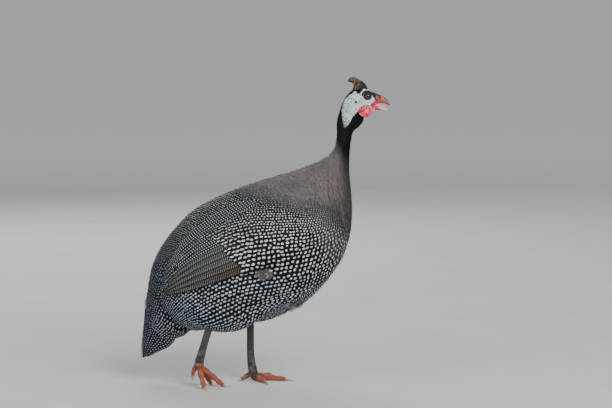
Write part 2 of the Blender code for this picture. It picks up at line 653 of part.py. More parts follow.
def wattle(name, side):
    """A fleshy flap that hangs from the corner of the mouth, and swells towards its lower edge."""
    flap = ball(name, (0, 0, 0), (WATTLE["length"], WATTLE["thick"], WATTLE["height"]), "red_skin", 20, 12)
    for vertex in flap.data.vertices:
        low = (WATTLE["height"] - vertex.co.z) / (2 * WATTLE["height"])
        vertex.co.y *= 0.8 + 0.7 * low
        vertex.co.y += WATTLE["top_y"] + WATTLE["flare"] * low * 0.012
        vertex.co.y *= side
        vertex.co.z += 0.20 * vertex.co.x
        vertex.co.x += WATTLE["x"]
        vertex.co.z += WATTLE["z"]
    if side < 0:
        flap.data.flip_normals()
    return combine(flap, [head_cutter()], "DIFFERENCE")


def build():
    global guinea_fowl
    clear_scene()
    mix_paints()
    guinea_fowl = bpy.data.collections.new("guinea_fowl")
    bpy.context.scene.collection.children.link(guinea_fowl)

    body_piece("torso", 0, NECK_FROM, TRUNK_RINGS, "spotted")
    body_piece("neck", NECK_FROM, HEAD_FROM, NECK_RINGS, "lilac", start_gap=GAP)
    head()
    helmet()
    bill("bill_upper", UPPER_BILL, True)
    bill("bill_lower", LOWER_BILL, False)
    tail()
    for name, side in (("left", 1), ("right", -1)):
        wattle(f"wattle_{name}", side)
        ball(f"eye_{name}", (EYE["x"], side * EYE["y"], EYE["z"]), (EYE["radius"],) * 3, "eye", 14, 8)
        wing(f"wing_{name}", side)
        thigh(name)
        shank(name)
        foot(name)


build()
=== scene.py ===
import math
import bpy
import numpy as np
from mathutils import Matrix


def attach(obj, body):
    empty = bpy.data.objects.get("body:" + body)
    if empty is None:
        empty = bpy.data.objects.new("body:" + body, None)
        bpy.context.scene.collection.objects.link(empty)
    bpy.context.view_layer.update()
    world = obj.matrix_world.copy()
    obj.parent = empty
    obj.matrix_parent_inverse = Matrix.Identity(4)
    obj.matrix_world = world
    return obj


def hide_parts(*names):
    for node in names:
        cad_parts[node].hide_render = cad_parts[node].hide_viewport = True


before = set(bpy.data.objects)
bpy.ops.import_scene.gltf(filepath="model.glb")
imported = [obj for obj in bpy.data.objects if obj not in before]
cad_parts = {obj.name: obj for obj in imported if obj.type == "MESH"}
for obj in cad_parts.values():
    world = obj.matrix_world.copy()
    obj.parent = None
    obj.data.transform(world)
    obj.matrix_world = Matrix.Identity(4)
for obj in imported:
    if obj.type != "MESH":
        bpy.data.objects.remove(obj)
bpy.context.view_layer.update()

rng = np.random.default_rng(11)

# The bird's own lines, as in the solids: back (x, z), belly (x, z) and half width in millimetres, and droop, the
# thousandths by which it is widest below its middle, of each station from the vent to the root of the bill.
trunkStations = np.array([
    (-178, 135.6, -115, 78, 32, 0), (-176.7, 156.3, -106, 77, 44, 50), (-169.6, 183.1, -93, 78.5, 55, 100),
    (-156, 209.1, -76, 81.5, 63, 150), (-137.3, 233.8, -57.5, 86, 68, 220), (-112, 259.2, -39.2, 89, 71.5, 270),
    (-79.7, 278.3, -21, 95, 73.5, 280), (-42.6, 294.1, 0.3, 100, 73.5, 280), (-6.4, 306.5, 26.2, 107.5, 71.8, 250),
    (28.9, 316.9, 55, 117.7, 68, 190), (56.6, 326, 80.8, 139.1, 62, 120), (74.6, 332.8, 102, 165.1, 54.5, 100),
    (88.2, 338.9, 117.9, 191, 46.5, 100), (97.2, 345.7, 127.6, 223, 38.5, 100),
    (102.5, 352.4, 131, 254.9, 31.5, 80), (105.5, 359.2, 129.4, 288.2, 24.5, 50), (107, 366.8, 126.3, 318.5, 18, 0),
    (107.7, 377.3, 126.6, 344.2, 13.2, 0), (107.4, 386.3, 128.5, 364, 11.6, 0), (107.8, 395, 131.8, 379, 11.2, 0),
    (110.4, 405.9, 140, 386.5, 11.7, 0), (113.7, 416.4, 147.5, 395.5, 12.5, 0), (117.4, 425.4, 150, 403, 13.2, 0),
    (122.6, 433.6, 151.5, 407.5, 13.7, 0), (130.1, 441.1, 153.5, 409, 13.9, 0), (139.1, 444.1, 156, 409.8, 13.7, 0),
    (148.1, 444.9, 158.7, 410.4, 13, 0), (154.9, 442.6, 161.7, 410.8, 11.4, 0), (160.9, 439.5, 164, 411.1, 9, 0),
    (165.6, 437, 166, 411.4, 6.6, 0)]) / 1000
thighLobes = (  # centre, half sizes, degrees that the front is raised
    ((-0.002, 0.032, 0.1165), (0.06, 0.031, 0.03), 17.0),
    ((-0.058, -0.034, 0.116), (0.06, 0.031, 0.037), 4.0),
)
wingLower = np.array([
    (66, 225), (50, 202), (25, 188), (-2, 181), (-29, 173), (-63, 163), (-98, 151), (-125, 142),
    (-148, 135)]) / 1000
wingUpper = np.array([
    (66, 245), (52, 268), (25, 279), (-4, 277), (-32, 269), (-59, 257), (-103.5, 229), (-136, 192),
    (-156, 152)]) / 1000
wingRows = 9  # rows of the wing's fan between its two edges
tailRidge = np.array([(-178, 135.6), (-179.8, 98), (-184.3, 57), (-184.2, 35)]) / 1000
tailEdge = np.array([(-115, 78), (-137, 61), (-160, 50), (-178, 40)]) / 1000
tailHalfWidth = np.array([(32,), (27,), (20.5,), (15,)]) / 1000
tailCore = np.array([  # place along the tail, depth, droop and share of the width where its core adds a station
    (0.8, 0.03, 0.3, 0.05), (0.66, 0.4, 0.6, 0.85), (0.44, 0.75, 0.5, 0.95), (0.22, 0.93, 0.3, 1.0)])
tailRings = len(tailCore)


def spline(rows, at):
    # Catmull-Rom: each span is the cubic through its two rows whose slopes are half the step over the neighbours
    rows, at = np.asarray(rows, float), np.clip(np.asarray(at, float), 0, len(rows) - 1)
    first = np.minimum(at.astype(int), len(rows) - 2)
    t = (at - first)[..., None]
    a, b = rows[np.maximum(first - 1, 0)], rows[first]
    c, d = rows[first + 1], rows[np.minimum(first + 2, len(rows) - 1)]
    return 0.5 * (2 * b + (c - a) * t + (2 * a - 5 * b + 4 * c - d) * t**2 + (3 * b - a - 3 * c + d) * t**3)


def ease(x, low, high):
    # 0 below low, 1 above high, and 3t^2 - 2t^3 between
    t = np.clip((np.asarray(x, float) - low) / (high - low), 0, 1)
    return t * t * (3 - 2 * t)


def bell(x, width, power=2):
    # exp(-(x / width)^power): 1 in the middle, and 0 well outside the width
    return np.exp(-(x / width) ** power)


def unit(vectors):
    # each vector over its length
    return vectors / (np.linalg.norm(vectors, axis=-1, keepdims=True) + 1e-12)


def circle(count):
    # even angles round a full turn
    return np.arange(count) * 2 * math.pi / count


def crossed(first, second):
    # two lines of values as the two parameters of a grid
    return np.meshgrid(first, second, indexing="ij")


def folded(angle):
    # how far an angle is from straight up, on either side
    return np.abs((angle + math.pi) % (2 * math.pi) - math.pi)


def ringShape(stations, at, angle):
    # an ellipse at each station: chord middle + half chord * cos, half width * sin * (1 - droop * cos)
    s = spline(stations, at)
    middle, arm = (s[..., 0:2] + s[..., 2:4]) / 2, (s[..., 0:2] - s[..., 2:4]) / 2
    xz = middle + arm * np.cos(angle)[..., None]
    y = s[..., 4] * np.sin(angle) * (1 - s[..., 5] * np.cos(angle))
    return np.stack([xz[..., 0], y, xz[..., 1]], -1), np.stack([middle[..., 0], 0 * y, middle[..., 1]], -1)


def tailCoreStations():
    # the tail's core as stations: its under side closes up to the ridge towards the tip
    at, depth, droop, share = tailCore.T[..., None]
    ridge, edge, width = (spline(line, at[:, 0] * 3) for line in (tailRidge, tailEdge, tailHalfWidth))
    return np.concatenate([ridge, ridge + (edge - ridge) * depth, width * share, droop], axis=1)


bodyLine = np.concatenate([tailCoreStations(), trunkStations])
lastStation = len(bodyLine) - 1


def thighReach(point, centre):
    # how far each ray from the middle goes, in units of the trunk: the larger of 1 and the far hit on an ellipsoid
    reach = np.ones(point.shape[:-1])
    for middle, half, raised in thighLobes:
        c, s = math.cos(math.radians(raised)), math.sin(math.radians(raised))
        back = np.array([[c, 0, s], [0, 1, 0], [-s, 0, c]])
        start = (centre - np.array(middle)) @ back.T / np.array(half)
        ray = (point - centre) @ back.T / np.array(half)
        a, b, c = (ray * ray).sum(-1), (ray * start).sum(-1), (start * start).sum(-1) - 1
        inside = b * b - a * c
        reach = np.maximum(reach, np.where(inside > 0, (-b + np.sqrt(np.maximum(inside, 0))) / a, 0))
    return reach


def blurred(values, sigmas):
    # Gaussian mean down the rows, held at the ends, then round the columns, which join up
    for axis, mode in ((0, "edge"), (1, "wrap")):
        span = int(3 * sigmas[axis])
        weight = np.exp(-0.5 * (np.arange(-span, span + 1) / sigmas[axis]) ** 2)
        padded = np.pad(values, [(span, span) if k == axis else (0, 0) for k in (0, 1)], mode=mode)
        steps = np.arange(values.shape[axis])
        values = sum(w * np.take(padded, steps + k, axis) for k, w in enumerate(weight / weight.sum()))
    return values


def fourMix(table, i, k, wraps=False):
    # straight mix of the four entries of a table round the place (i, k), carried on past an open edge
    i, k = np.broadcast_arrays(i, k)
    rows, columns = table.shape[:2]
    top, left = np.clip(np.floor(i).astype(int), 0, rows - 2), np.floor(k).astype(int)
    if not wraps:
        left = np.clip(left, 0, columns - 2)
    down, over = np.clip(i - top, -3, 4)[..., None], (k - left)[..., None]
    first, second = (table[top, c % columns] * (1 - down) + table[top + 1, c % columns] * down
                     for c in (left, left + 1))
    return first * (1 - over) + second * over


def raisedPoints(found, height):
    # the points of a chart's entries, moved out along their normals
    return found[..., 0:3] + found[..., 3:6] * height[..., None]


class Chart:
    # a surface on an even grid of two parameters: points, outward normals, and how long one unit of each is
    def __init__(self, points, uRange, vRange, wraps, outward):
        rows, columns = points.shape[:2]
        self.start, self.wraps = (uRange[0], vRange[0]), wraps
        self.uStep = (uRange[1] - uRange[0]) / (rows - 1)
        self.vStep = (vRange[1] - vRange[0]) / (columns if wraps else columns - 1)
        alongU = np.gradient(points, axis=0) / self.uStep
        alongV = np.gradient(points, axis=1) / self.vStep
        if wraps:
            alongV = (np.roll(points, -1, 1) - np.roll(points, 1, 1)) / (2 * self.vStep)
        normal = unit(np.cross(alongU, alongV))
        normal *= np.sign((normal * outward(points)).sum())
        lengths = [np.linalg.norm(along, axis=-1, keepdims=True) for along in (alongU, alongV)]
        self.table = np.concatenate([points, normal, *lengths], -1)

    def look(self, u, v):
        # points, normals and unit lengths of the surface at u and v
        return fourMix(self.table, (u - self.start[0]) / self.uStep, (v - self.start[1]) / self.vStep, self.wraps)

    def place(self, u, v, height):
        # the point at u and v, so high above the surface
        return raisedPoints(self.look(u, v), height)


def makeBodyChart():
    # the stations' rings, pushed out over the thighs with a soft change
    s, a = crossed(np.linspace(0, lastStation, 20 * lastStation + 1), circle(256))
    point, centre = ringShape(bodyLine, s, a)
    points = centre + (point - centre) * blurred(thighReach(point, centre), (5.0, 3.5))[..., None]
    middle = centre.mean(1, keepdims=True)
    return Chart(points, (0, lastStation), (0, 2 * math.pi), True, lambda p: p - middle)


bodyChart = makeBodyChart()
print("body chart done")


def wingEdges(along):
    # the wing's lower and upper edge at shares of its length
    spans = len(wingLower) - 1
    return spline(wingLower, along * spans), spline(wingUpper, along * spans)


def sideOf(start, way, x, z):
    # the cross product of each line's way and the step to the point: its sign tells the side
    return way[:, 0] * (z[..., None] - start[:, 1]) - way[:, 1] * (x[..., None] - start[:, 0])


def wingShape(side, along, row):
    # the wing's fan between its two edges seen from the side, laid on the trunk at that x and z
    lower, upper = wingEdges(along)
    xz = lower + (upper - lower) * (row / wingRows)[..., None]
    x, z = xz[..., 0].ravel(), xz[..., 1].ravel()
    stations = np.linspace(tailRings, tailRings + 14.6, 400)
    lines = spline(bodyLine, stations)
    across = sideOf(lines[:, 0:2], lines[:, 2:4] - lines[:, 0:2], x, z)
    before = np.argmax(across[:, 1:] * across[:, :-1] <= 0, axis=1)
    pick = np.arange(len(x))
    share = across[pick, before] / (across[pick, before] - across[pick, before + 1])
    at = stations[before] + share * (stations[1] - stations[0])
    s = spline(bodyLine, at)
    arm = s[:, 2:4] - s[:, 0:2]
    down = ((x - s[:, 0]) * arm[:, 0] + (z - s[:, 1]) * arm[:, 1]) / (arm**2).sum(1)
    angle = side * np.arccos(1 - 2 * np.clip(down, 0.004, 0.996))
    return ringShape(bodyLine, at, angle)[0].reshape(xz.shape[:-1] + (3,))


def makeWingChart(side):
    # the fan as a grid that runs half a row past each edge
    rowRange = (-0.5, wingRows + 0.5)
    points = wingShape(side, *crossed(np.linspace(0, 1, 161), np.linspace(*rowRange, 91)))
    for _ in range(2):  # evens out the trunk's small folds
        points[1:-1] = (points[:-2] + 2 * points[1:-1] + points[2:]) / 4
    return Chart(points, (0, 1), rowRange, False, lambda p: p * [0, 1, 0])


wingCharts = {"left": makeWingChart(1), "right": makeWingChart(-1)}
print("wing charts done")


class Value:
    # one output of a shader node: arithmetic on it adds maths nodes to its tree
    def __init__(self, socket):
        self.socket = socket

    def __add__(self, other):
        return calc("ADD", self, other)

    def __sub__(self, other):
        return calc("SUBTRACT", self, other)

    def __rsub__(self, other):
        return calc("SUBTRACT", other, self)

    def __mul__(self, other):
        return calc("MULTIPLY", self, other)

    def __truediv__(self, other):
        return calc("DIVIDE", self, other)

    __radd__, __rmul__ = __add__, __mul__


def fill(socket, value):
    # a Value is wired to the socket, and a number or a colour is set on it
    if isinstance(value, Value):
        socket.id_data.links.new(value.socket, socket)
    else:
        socket.default_value = (*value, 1) if socket.type == "RGBA" else value


def treeOf(*values):
    # the node tree that the first Value belongs to
    return next(value.socket.id_data for value in values if isinstance(value, Value))


def addNode(tree, kind, *values, **settings):
    # values fill the first inputs in order, and settings are the node's own
    made = tree.nodes.new("ShaderNode" + kind)
    for key, value in settings.items():
        setattr(made, key, value)
    for socket, value in zip(made.inputs, values):
        fill(socket, value)
    return made


def calc(operation, *values):
    # one maths node
    return Value(addNode(treeOf(*values), "Math", *values, operation=operation).outputs[0])


def split(value, kind="XYZ"):
    # the three parts of a vector or a colour
    return [Value(output) for output in addNode(treeOf(value), "Separate" + kind, value).outputs]


def join(x, y, z=0.0, kind="XYZ"):
    # three parts as a vector or a colour
    return Value(addNode(treeOf(x, y, z), "Combine" + kind, x, y, z).outputs[0])


def mix(share, first, second, blendType="MIX"):
    # first where the share is 0, and second where it is 1
    made = addNode(treeOf(share, first, second), "Mix", data_type="RGBA", blend_type=blendType)
    for index, value in ((0, share), (6, first), (7, second)):
        fill(made.inputs[index], value)
    return Value(made.outputs[2])


def dim(colour, share):
    # the colour times a grey of that share
    return mix(1.0, colour, join(share, share, share, "Color"), "MULTIPLY")


def soften(value, low, high):
    # 0 at low, 1 at high, and a smooth step between
    made = addNode(treeOf(value), "MapRange", value, low, high, 0.0, 1.0, interpolation_type="SMOOTHSTEP")
    return Value(made.outputs[0])


def pattern(kind, vector, output=0, feature=None, **inputs):
    # a texture or mapping node over the vector, its inputs set by name
    made = addNode(treeOf(vector), kind, **({"feature": feature} if feature else {}))
    for key, value in dict(inputs, Vector=vector).items():
        fill(made.inputs[key], value)
    return Value(made.outputs[output])


def noise(vector, scale, detail=2.0, roughness=0.5):
    # cloudy values round a half, finer as the scale goes up
    return pattern("TexNoise", vector, Scale=scale, Detail=detail, Roughness=roughness)


def scaled(vector, *scale):
    # the vector times a factor for each axis
    return pattern("Mapping", vector, Scale=scale)


class Finish:
    # a material under way: it reads places, maps and attributes, and done() sets its shader
    def __init__(self, name):
        self.material = bpy.data.materials.new(name)
        self.material.use_nodes = True
        self.tree = self.material.node_tree
        self.place = self.source("TexCoord", "Object")

    def source(self, kind, output, **settings):
        return Value(addNode(self.tree, kind, **settings).outputs[output])

    def read(self, name, output="Fac"):
        return self.source("Attribute", output, attribute_name=name)

    def map(self, name):
        return self.source("UVMap", 0, uv_map=name)

    def done(self, colour, roughness, bump=None, **others):
        # others are the shader's sockets in camelCase; bump is height, distance and strength
        shader = self.tree.nodes["Principled BSDF"]
        sockets = {"Base Color": colour, "Roughness": roughness}
        sockets.update({shaderSockets[key]: value for key, value in others.items()})
        if bump:
            made = addNode(self.tree, "Bump")
            for key, value in zip(("Height", "Distance", "Strength"), bump):
                fill(made.inputs[key], value)
            sockets["Normal"] = Value(made.outputs[0])
        for key, value in sockets.items():
            fill(shader.inputs[key], value)
        return self.material


shaderSockets = dict(
    shine="Specular IOR Level", coat="Coat Weight", coatRoughness="Coat Roughness", glow="Emission Color",
    glowStrength="Emission Strength", depth="Subsurface Weight", depthRadius="Subsurface Radius")
plumageColours = dict(
    black=(0.0034, 0.0038, 0.0052), slate=(0.026, 0.033, 0.047), lilac=(0.15, 0.132, 0.13),
    dotBlue=(0.56, 0.65, 0.74), dotCream=(0.74, 0.76, 0.7), dotEdge=(0.06, 0.07, 0.09))


def plumageNodes(finish, vane):
    # black, slate or lilac vane with barbs, and a pale dot round the place where the map has its zero
    c = plumageColours
    size, tone, lilac = split(finish.read("looks", "Color"), "Color")
    draw = finish.read("looks", "Alpha")
    x, y, _ = split(vane)
    fore, _, height = split(finish.place)
    barb = noise(scaled(vane, 38.0, 3.2, 1.0), 1.0)
    cloud = noise(scaled(finish.place, 1.0, 1.0, 0.45), 70.0, 3.0, 0.6)
    vary = (barb * 0.9 + 0.55) * (draw * 0.5 + 0.75)
    vary = vary + (cloud * 0.9 + 0.5 - vary) * (lilac * 0.85)
    shade = dim(mix(lilac, mix(tone, c["black"], c["slate"]), c["lilac"]), vary)
    moved = join(x + draw * 37.0, y + draw * 91.0)
    x = x + (noise(moved, 2.8, 1.0) - 0.5) * 0.34  # an uneven rim
    y = y + (noise(moved, 3.6, 1.0) - 0.5) * 0.26
    near = size - calc("SQRT", x * x + y * y) + (barb - 0.5) * 0.07
    shade = mix(soften(near, -0.07, 0.0) * 0.4, shade, c["dotEdge"])
    # the dots grow dimmer towards the tail: painted shade on the rump
    pale = (barb * 0.5 + 0.76) * (1.0 - tone * 0.45) * (1.0 - soften(fore, -0.105, -0.15) * 0.42)
    white = dim(mix(soften(height, 0.155, 0.2), c["dotBlue"], c["dotCream"]), pale)
    return mix(soften(near, -0.012, 0.05), shade, white), barb


def staggered(u, v):
    # places on rows counted by u and v, each second row half a step on: every whole number has its zero
    odd = calc("FLOORED_MODULO", calc("FLOOR", u), 2.0) * 0.5
    return calc("FRACT", u) - 0.5, calc("FRACT", v + odd) - 0.5


def plumageMaterial():
    # one dot to a feather
    finish = Finish("spottedPlumage")
    shade, barb = plumageNodes(finish, finish.map("dots"))
    return finish.done(shade, barb * 0.25 + 0.46, (barb, 0.0004, 0.6), shine=0.16)


def rowedVector(finish):
    # the place round the nearest dot, from a map that counts rows and places
    u, v, _ = split(finish.map("dots"))
    return join(*staggered(u, v))


def rowedMaterial():
    # rows of dots along a vane
    finish = Finish("rowedPlumage")
    shade, barb = plumageNodes(finish, rowedVector(finish))
    return finish.done(shade, 0.5, (barb, 0.0004, 0.6), shine=0.16)


plumage = plumageMaterial()
rowedPlumage = rowedMaterial()


def linked(name, data):
    # a new object in the scene
    made = bpy.data.objects.new(name, data)
    bpy.context.scene.collection.objects.link(made)
    return made


def gridFaces(rows, columns, rowsMeet, columnsMeet):
    # the four corners of each cell of a grid, whose rows or columns may meet
    i, k = crossed(np.arange(rows if rowsMeet else rows - 1), np.arange(columns if columnsMeet else columns - 1))
    here, below, after = i * columns, (i + 1) % rows * columns, (k + 1) % columns
    return np.stack([here + k, here + after, below + after, below + k], -1).reshape(-1, 4)


def makePiece(name, points, material, slot, *replaces, form="tube", outward=None, maps=None, layers=None):
    # one mesh from a grid or a stack of grids: a sheet, a tube with closed ends or a ring, its faces turned outwards
    rows, columns = points.shape[-3:-1]
    if outward is None:
        outward = points - points.mean(-2, keepdims=True)
    points, outward = points.reshape(-1, 3), outward.reshape(-1, 3)
    starts = np.arange(0, len(points), rows * columns)
    faces = gridFaces(rows, columns, form == "ring", form != "sheet")
    faces = (faces[None] + starts[:, None, None]).reshape(-1, 4)
    ends = []
    if form == "tube":
        rim, far = np.arange(columns), (rows - 1) * columns
        ends = [ring for start in starts for ring in (start + rim[::-1], start + far + rim)]
    a, b, c = (points[faces[:, k]] for k in (0, 1, 2))
    if (np.cross(b - a, c - a) * outward[faces[:, 0]]).sum() < 0:
        faces, ends = faces[:, ::-1], [ring[::-1] for ring in ends]
    loops = np.concatenate([faces.ravel(), *ends]).astype(np.int32)
    sizes = np.array([4] * len(faces) + [columns] * len(ends))
    mesh = bpy.data.meshes.new(name)
    mesh.vertices.add(len(points))
    mesh.vertices.foreach_set("co", points.astype(np.float32).ravel())
    mesh.loops.add(len(loops))
    mesh.loops.foreach_set("vertex_index", loops)
    mesh.polygons.add(len(sizes))
    mesh.polygons.foreach_set("loop_start", (np.cumsum(sizes) - sizes).astype(np.int32))
    mesh.update(calc_edges=True)
    mesh.shade_smooth()
    for key, values in (maps or {}).items():
        corners = values.reshape(-1, 2)[loops].astype(np.float32)
        mesh.uv_layers.new(name=key).uv.foreach_set("vector", corners.ravel())
    for key, values in (layers or {}).items():
        kind, field = ("FLOAT", "value") if values.size == len(points) else ("FLOAT_COLOR", "color")
        mesh.attributes.new(key, kind, "POINT").data.foreach_set(field, values.astype(np.float32).ravel())
    mesh.materials.append(material)
    made = linked(name, mesh)
    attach(made, "root")
    if replaces:
        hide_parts(*replaces)
    return made


trunkCoat = dict(
    rows=116, reference=5.5, backShare=0.56, backEdge=(0.75, 1.35), along=1.18, wide=0.0034, thin=0.0026, most=0.0085,
    length=2.7, width=1.8, arch=0.05, depth=0.0032, dotAt=0.62, dotStretch=1.22, dotDash=0.85, dotShare=0.35,
    shift=(0.08, 0.05), turn=0.04, lengthRange=(0.94, 1.06), widthRange=(0.95, 1.05), sizeRange=(0.84, 1.16),
    rootAbove=0.0004, tipAbove=0.0002, rootUnder=0.006, lastAt=-1.7, mostTriangles=190000)
wingForm = dict(armEnd=0.62, inner=0.0006, covertSpacing=0.0055, tipLine=(0.53, 1.1, 0.0294), secondaries=9, width=2.3)
armForm = dict(high=0.008, low=0.0046, ramp=(-0.005, 0.015), edge=(0.001, 0.0036))
slopeGrid = dict(  # degrees that the rows of dots rise towards the breast, seen from the side
    x=(-0.167, -0.094, -0.021, 0.052, 0.118), z=(0.12, 0.157, 0.193, 0.223, 0.245, 0.281),
    rise=((10, 0, 3, 18, 45), (15, 2, 2, 12, 40), (30, 15, 10, 6, 35),
          (38, 14, 8, 5, 28), (40, 12, 3, 3, 20), (40, 15, 5, 0, 8)))
wingOutline = np.concatenate([wingEdges(np.linspace(0, 1, 49))[0], wingEdges(np.linspace(1, 0, 49))[1]])
collarLine = np.array([(-0.06, 0.33), (-0.034, 0.303), (0.011, 0.293), (0.048, 0.278), (0.067, 0.28),
                       (0.096, 0.267), (0.121, 0.252), (0.14, 0.243)])
downPatch = dict(x=-0.0003, z=0.173, length=0.0098, height=0.0054)
paleTuft = dict(x=0.04, z=0.115, length=0.017, height=0.011)


def layFeathers(u, v, turn, spacing, length, width, low, high, arch, dotAt, looks,
                axis=None, stretch=None, raised=None, rows=9, columns=7):
    # each feather is a grid laid on the body: its length runs back along the lie, and it rises from root to tip
    def deep(values):
        return np.broadcast_to(values, len(u))[:, None, None]

    count = len(u)
    t, w = crossed(np.linspace(0, 1, rows), np.linspace(-1, 1, columns))
    found = bodyChart.look(u, v)
    opening = 0.3 + 0.7 * ease(t, 0, 0.35)  # opens over the first third, and closes in a round tip
    shape = opening * np.sqrt(np.clip(1 - (np.maximum(t - 0.62, 0) / 0.42) ** 2, 0.06, 1))
    ragged = rng.normal(0, 1, (count, 1, columns)) * ease(t, 0.75, 1.0) * 0.028
    along = deep(length) * (t - 0.1 * w**2 * ease(t, 0.5, 1.0) + ragged)
    across = deep(width) / 2 * shape * w
    c, s = np.cos(deep(turn)), np.sin(deep(turn))
    uu = deep(u) - (along * c - across * s) / deep(found[:, 6])
    vv = deep(v) + (along * s + across * c) / deep(found[:, 7])
    lift = deep(low) + deep(high - low) * t**0.8 - arch * deep(width) * w**2
    lift = lift + rng.normal(0, 1, (count, 1, 1)) * 0.00025 * t
    if raised is not None:
        lift = lift + raised(uu, vv, t)
    x = across / deep(spacing)
    y = (along - deep(length) + deep(dotAt)) / deep(spacing)
    if axis is not None:  # the dot is drawn out along its row
        e, f = deep(axis[0]), deep(axis[1])
        x, y = (x * e + y * f) / deep(stretch), y * e - x * f
    baked = np.stack([u / lastStation, v / (2 * math.pi) % 1.0], -1)[:, None, None]
    return dict(points=bodyChart.place(uu, vv, lift), normals=bodyChart.look(uu, vv)[..., 3:6],
                dots=np.stack([x, y], -1), baked=baked * 0.992 + 0.003 * np.stack([t + 0.4, w / 2 + 0.8], -1),
                looks=np.broadcast_to(looks[:, None, None], (count, rows, columns, 4)))


def coatPieces(name, laid, slot):
    # joins the laid feathers in pieces that stay under the triangle limit
    count, rows, columns = laid["points"].shape[:3]
    triangles = count * (rows - 1) * (columns - 1) * 2
    parts = math.ceil(triangles / trunkCoat["mostTriangles"])
    for index, chosen in enumerate(np.array_split(np.arange(count), parts)):
        points, normals, dots, baked, looks = (values[chosen] for values in laid.values())
        makePiece(name if parts == 1 else f"{name}_{index + 1}", points, plumage, slot, form="sheet",
                  outward=normals, maps={"OFBake": baked, "dots": dots}, layers={"looks": looks})
    print(name, count, "feathers", triangles, "triangles in", parts)


def segmentGap(x, z, line):
    # distance of each point to the nearest stretch of a line
    start, way = line[:-1], np.diff(line, axis=0)
    step = np.stack([x, z], -1)[..., None, :] - start
    share = np.clip((step * way).sum(-1) / (way**2).sum(-1), 0, 1)
    return np.linalg.norm(step - share[..., None] * way, axis=-1).min(-1)


def insideReach(x, z, outline):
    # distance to a closed outline, positive inside it: where a level ray crosses it an odd number of times
    gap = segmentGap(x, z, np.concatenate([outline, outline[:1]]))
    a, b = outline, np.roll(outline, -1, 0)
    rising = (a[:, 1] > z[..., None]) != (b[:, 1] > z[..., None])
    step = np.where(b[:, 1] == a[:, 1], 1e-9, b[:, 1] - a[:, 1])
    crossAt = a[:, 0] + (z[..., None] - a[:, 1]) / step * (b[:, 0] - a[:, 0])
    return np.where((rising & (x[..., None] < crossAt)).sum(-1) % 2 == 1, gap, -gap)


def ovalReach(x, z, spot):
    # distance from an oval's middle, with 1 on its rim
    return np.hypot((x - spot["x"]) / spot["length"], (z - spot["z"]) / spot["height"])


def wingPlace(x, z):
    # share of the wing's length and row of the fan at a point of its side view, held at the ends
    at = np.linspace(0, 1, 241)
    lower, upper = wingEdges(at)
    chord = upper - lower
    along = np.abs(sideOf(lower, chord, x, z) / np.linalg.norm(chord, axis=1)).argmin(-1)
    step = np.stack([x, z], -1) - lower[along]
    return at[along], wingRows * (step * chord[along]).sum(-1) / (chord[along] ** 2).sum(-1)


def armHeight(point):
    # the wing's lift of the coat: a soft ramp in from its front and upper edge, a step at its lower edge behind
    reach = insideReach(point[..., 0], point[..., 2], wingOutline)
    along, row = wingPlace(point[..., 0], point[..., 2])
    soft = ease(reach, *armForm["ramp"])
    sharp = ease(reach, *armForm["edge"]) * ease(reach, -0.002, 0.012) ** 0.3
    rise = soft + (sharp - soft) * ease(wingRows / 2 - row, 0.5, 3.0) * ease(along, 0.32, 0.44)
    high = armForm["high"] + (armForm["low"] - armForm["high"]) * ease(along, 0.42, 0.6)
    return np.where(reach > -0.006, high * rise, 0.0), reach, along, row


bodyChart.table = np.concatenate([bodyChart.table, armHeight(bodyChart.table)[0][..., None]], -1)


def tailLift(station):
    # the coverts stand over the roots of the tail's quills
    return 0.0036 * (1 - ease(station - tailRings, -0.8, 1.0))


def lieShare(angle):
    # rows stand closer on the back than on the sides
    return trunkCoat["backShare"] + (1 - trunkCoat["backShare"]) * ease(folded(angle), *trunkCoat["backEdge"])


def rowDrift(at, angle):
    # turn of the angle per station that gives a row the wanted rise in the side view; none on the back
    small = 0.02
    ahead = bodyChart.look(at + small, angle) - bodyChart.look(at - small, angle)
    around = bodyChart.look(at, angle + small) - bodyChart.look(at, angle - small)
    here = bodyChart.look(at, angle)
    i, k = (np.interp(here[..., axis], slopeGrid[key], np.arange(len(slopeGrid[key])))
            for axis, key in ((2, "z"), (0, "x")))
    rise = np.radians(fourMix(np.array(slopeGrid["rise"], float)[..., None], i, k)[..., 0])
    c, s = np.cos(rise), np.sin(rise)
    least = 0.25 * np.abs(around[..., 2]) + 0.0006
    drift = (ahead[..., 2] * c - ahead[..., 0] * s) / np.maximum(around[..., 0] * s - around[..., 2] * c, least)
    begin = trunkCoat["reference"]
    return np.clip(drift, -0.6, 0.6) * ease(angle, 0.3, 0.95) * ease(at - tailRings, begin, begin + 2.5)


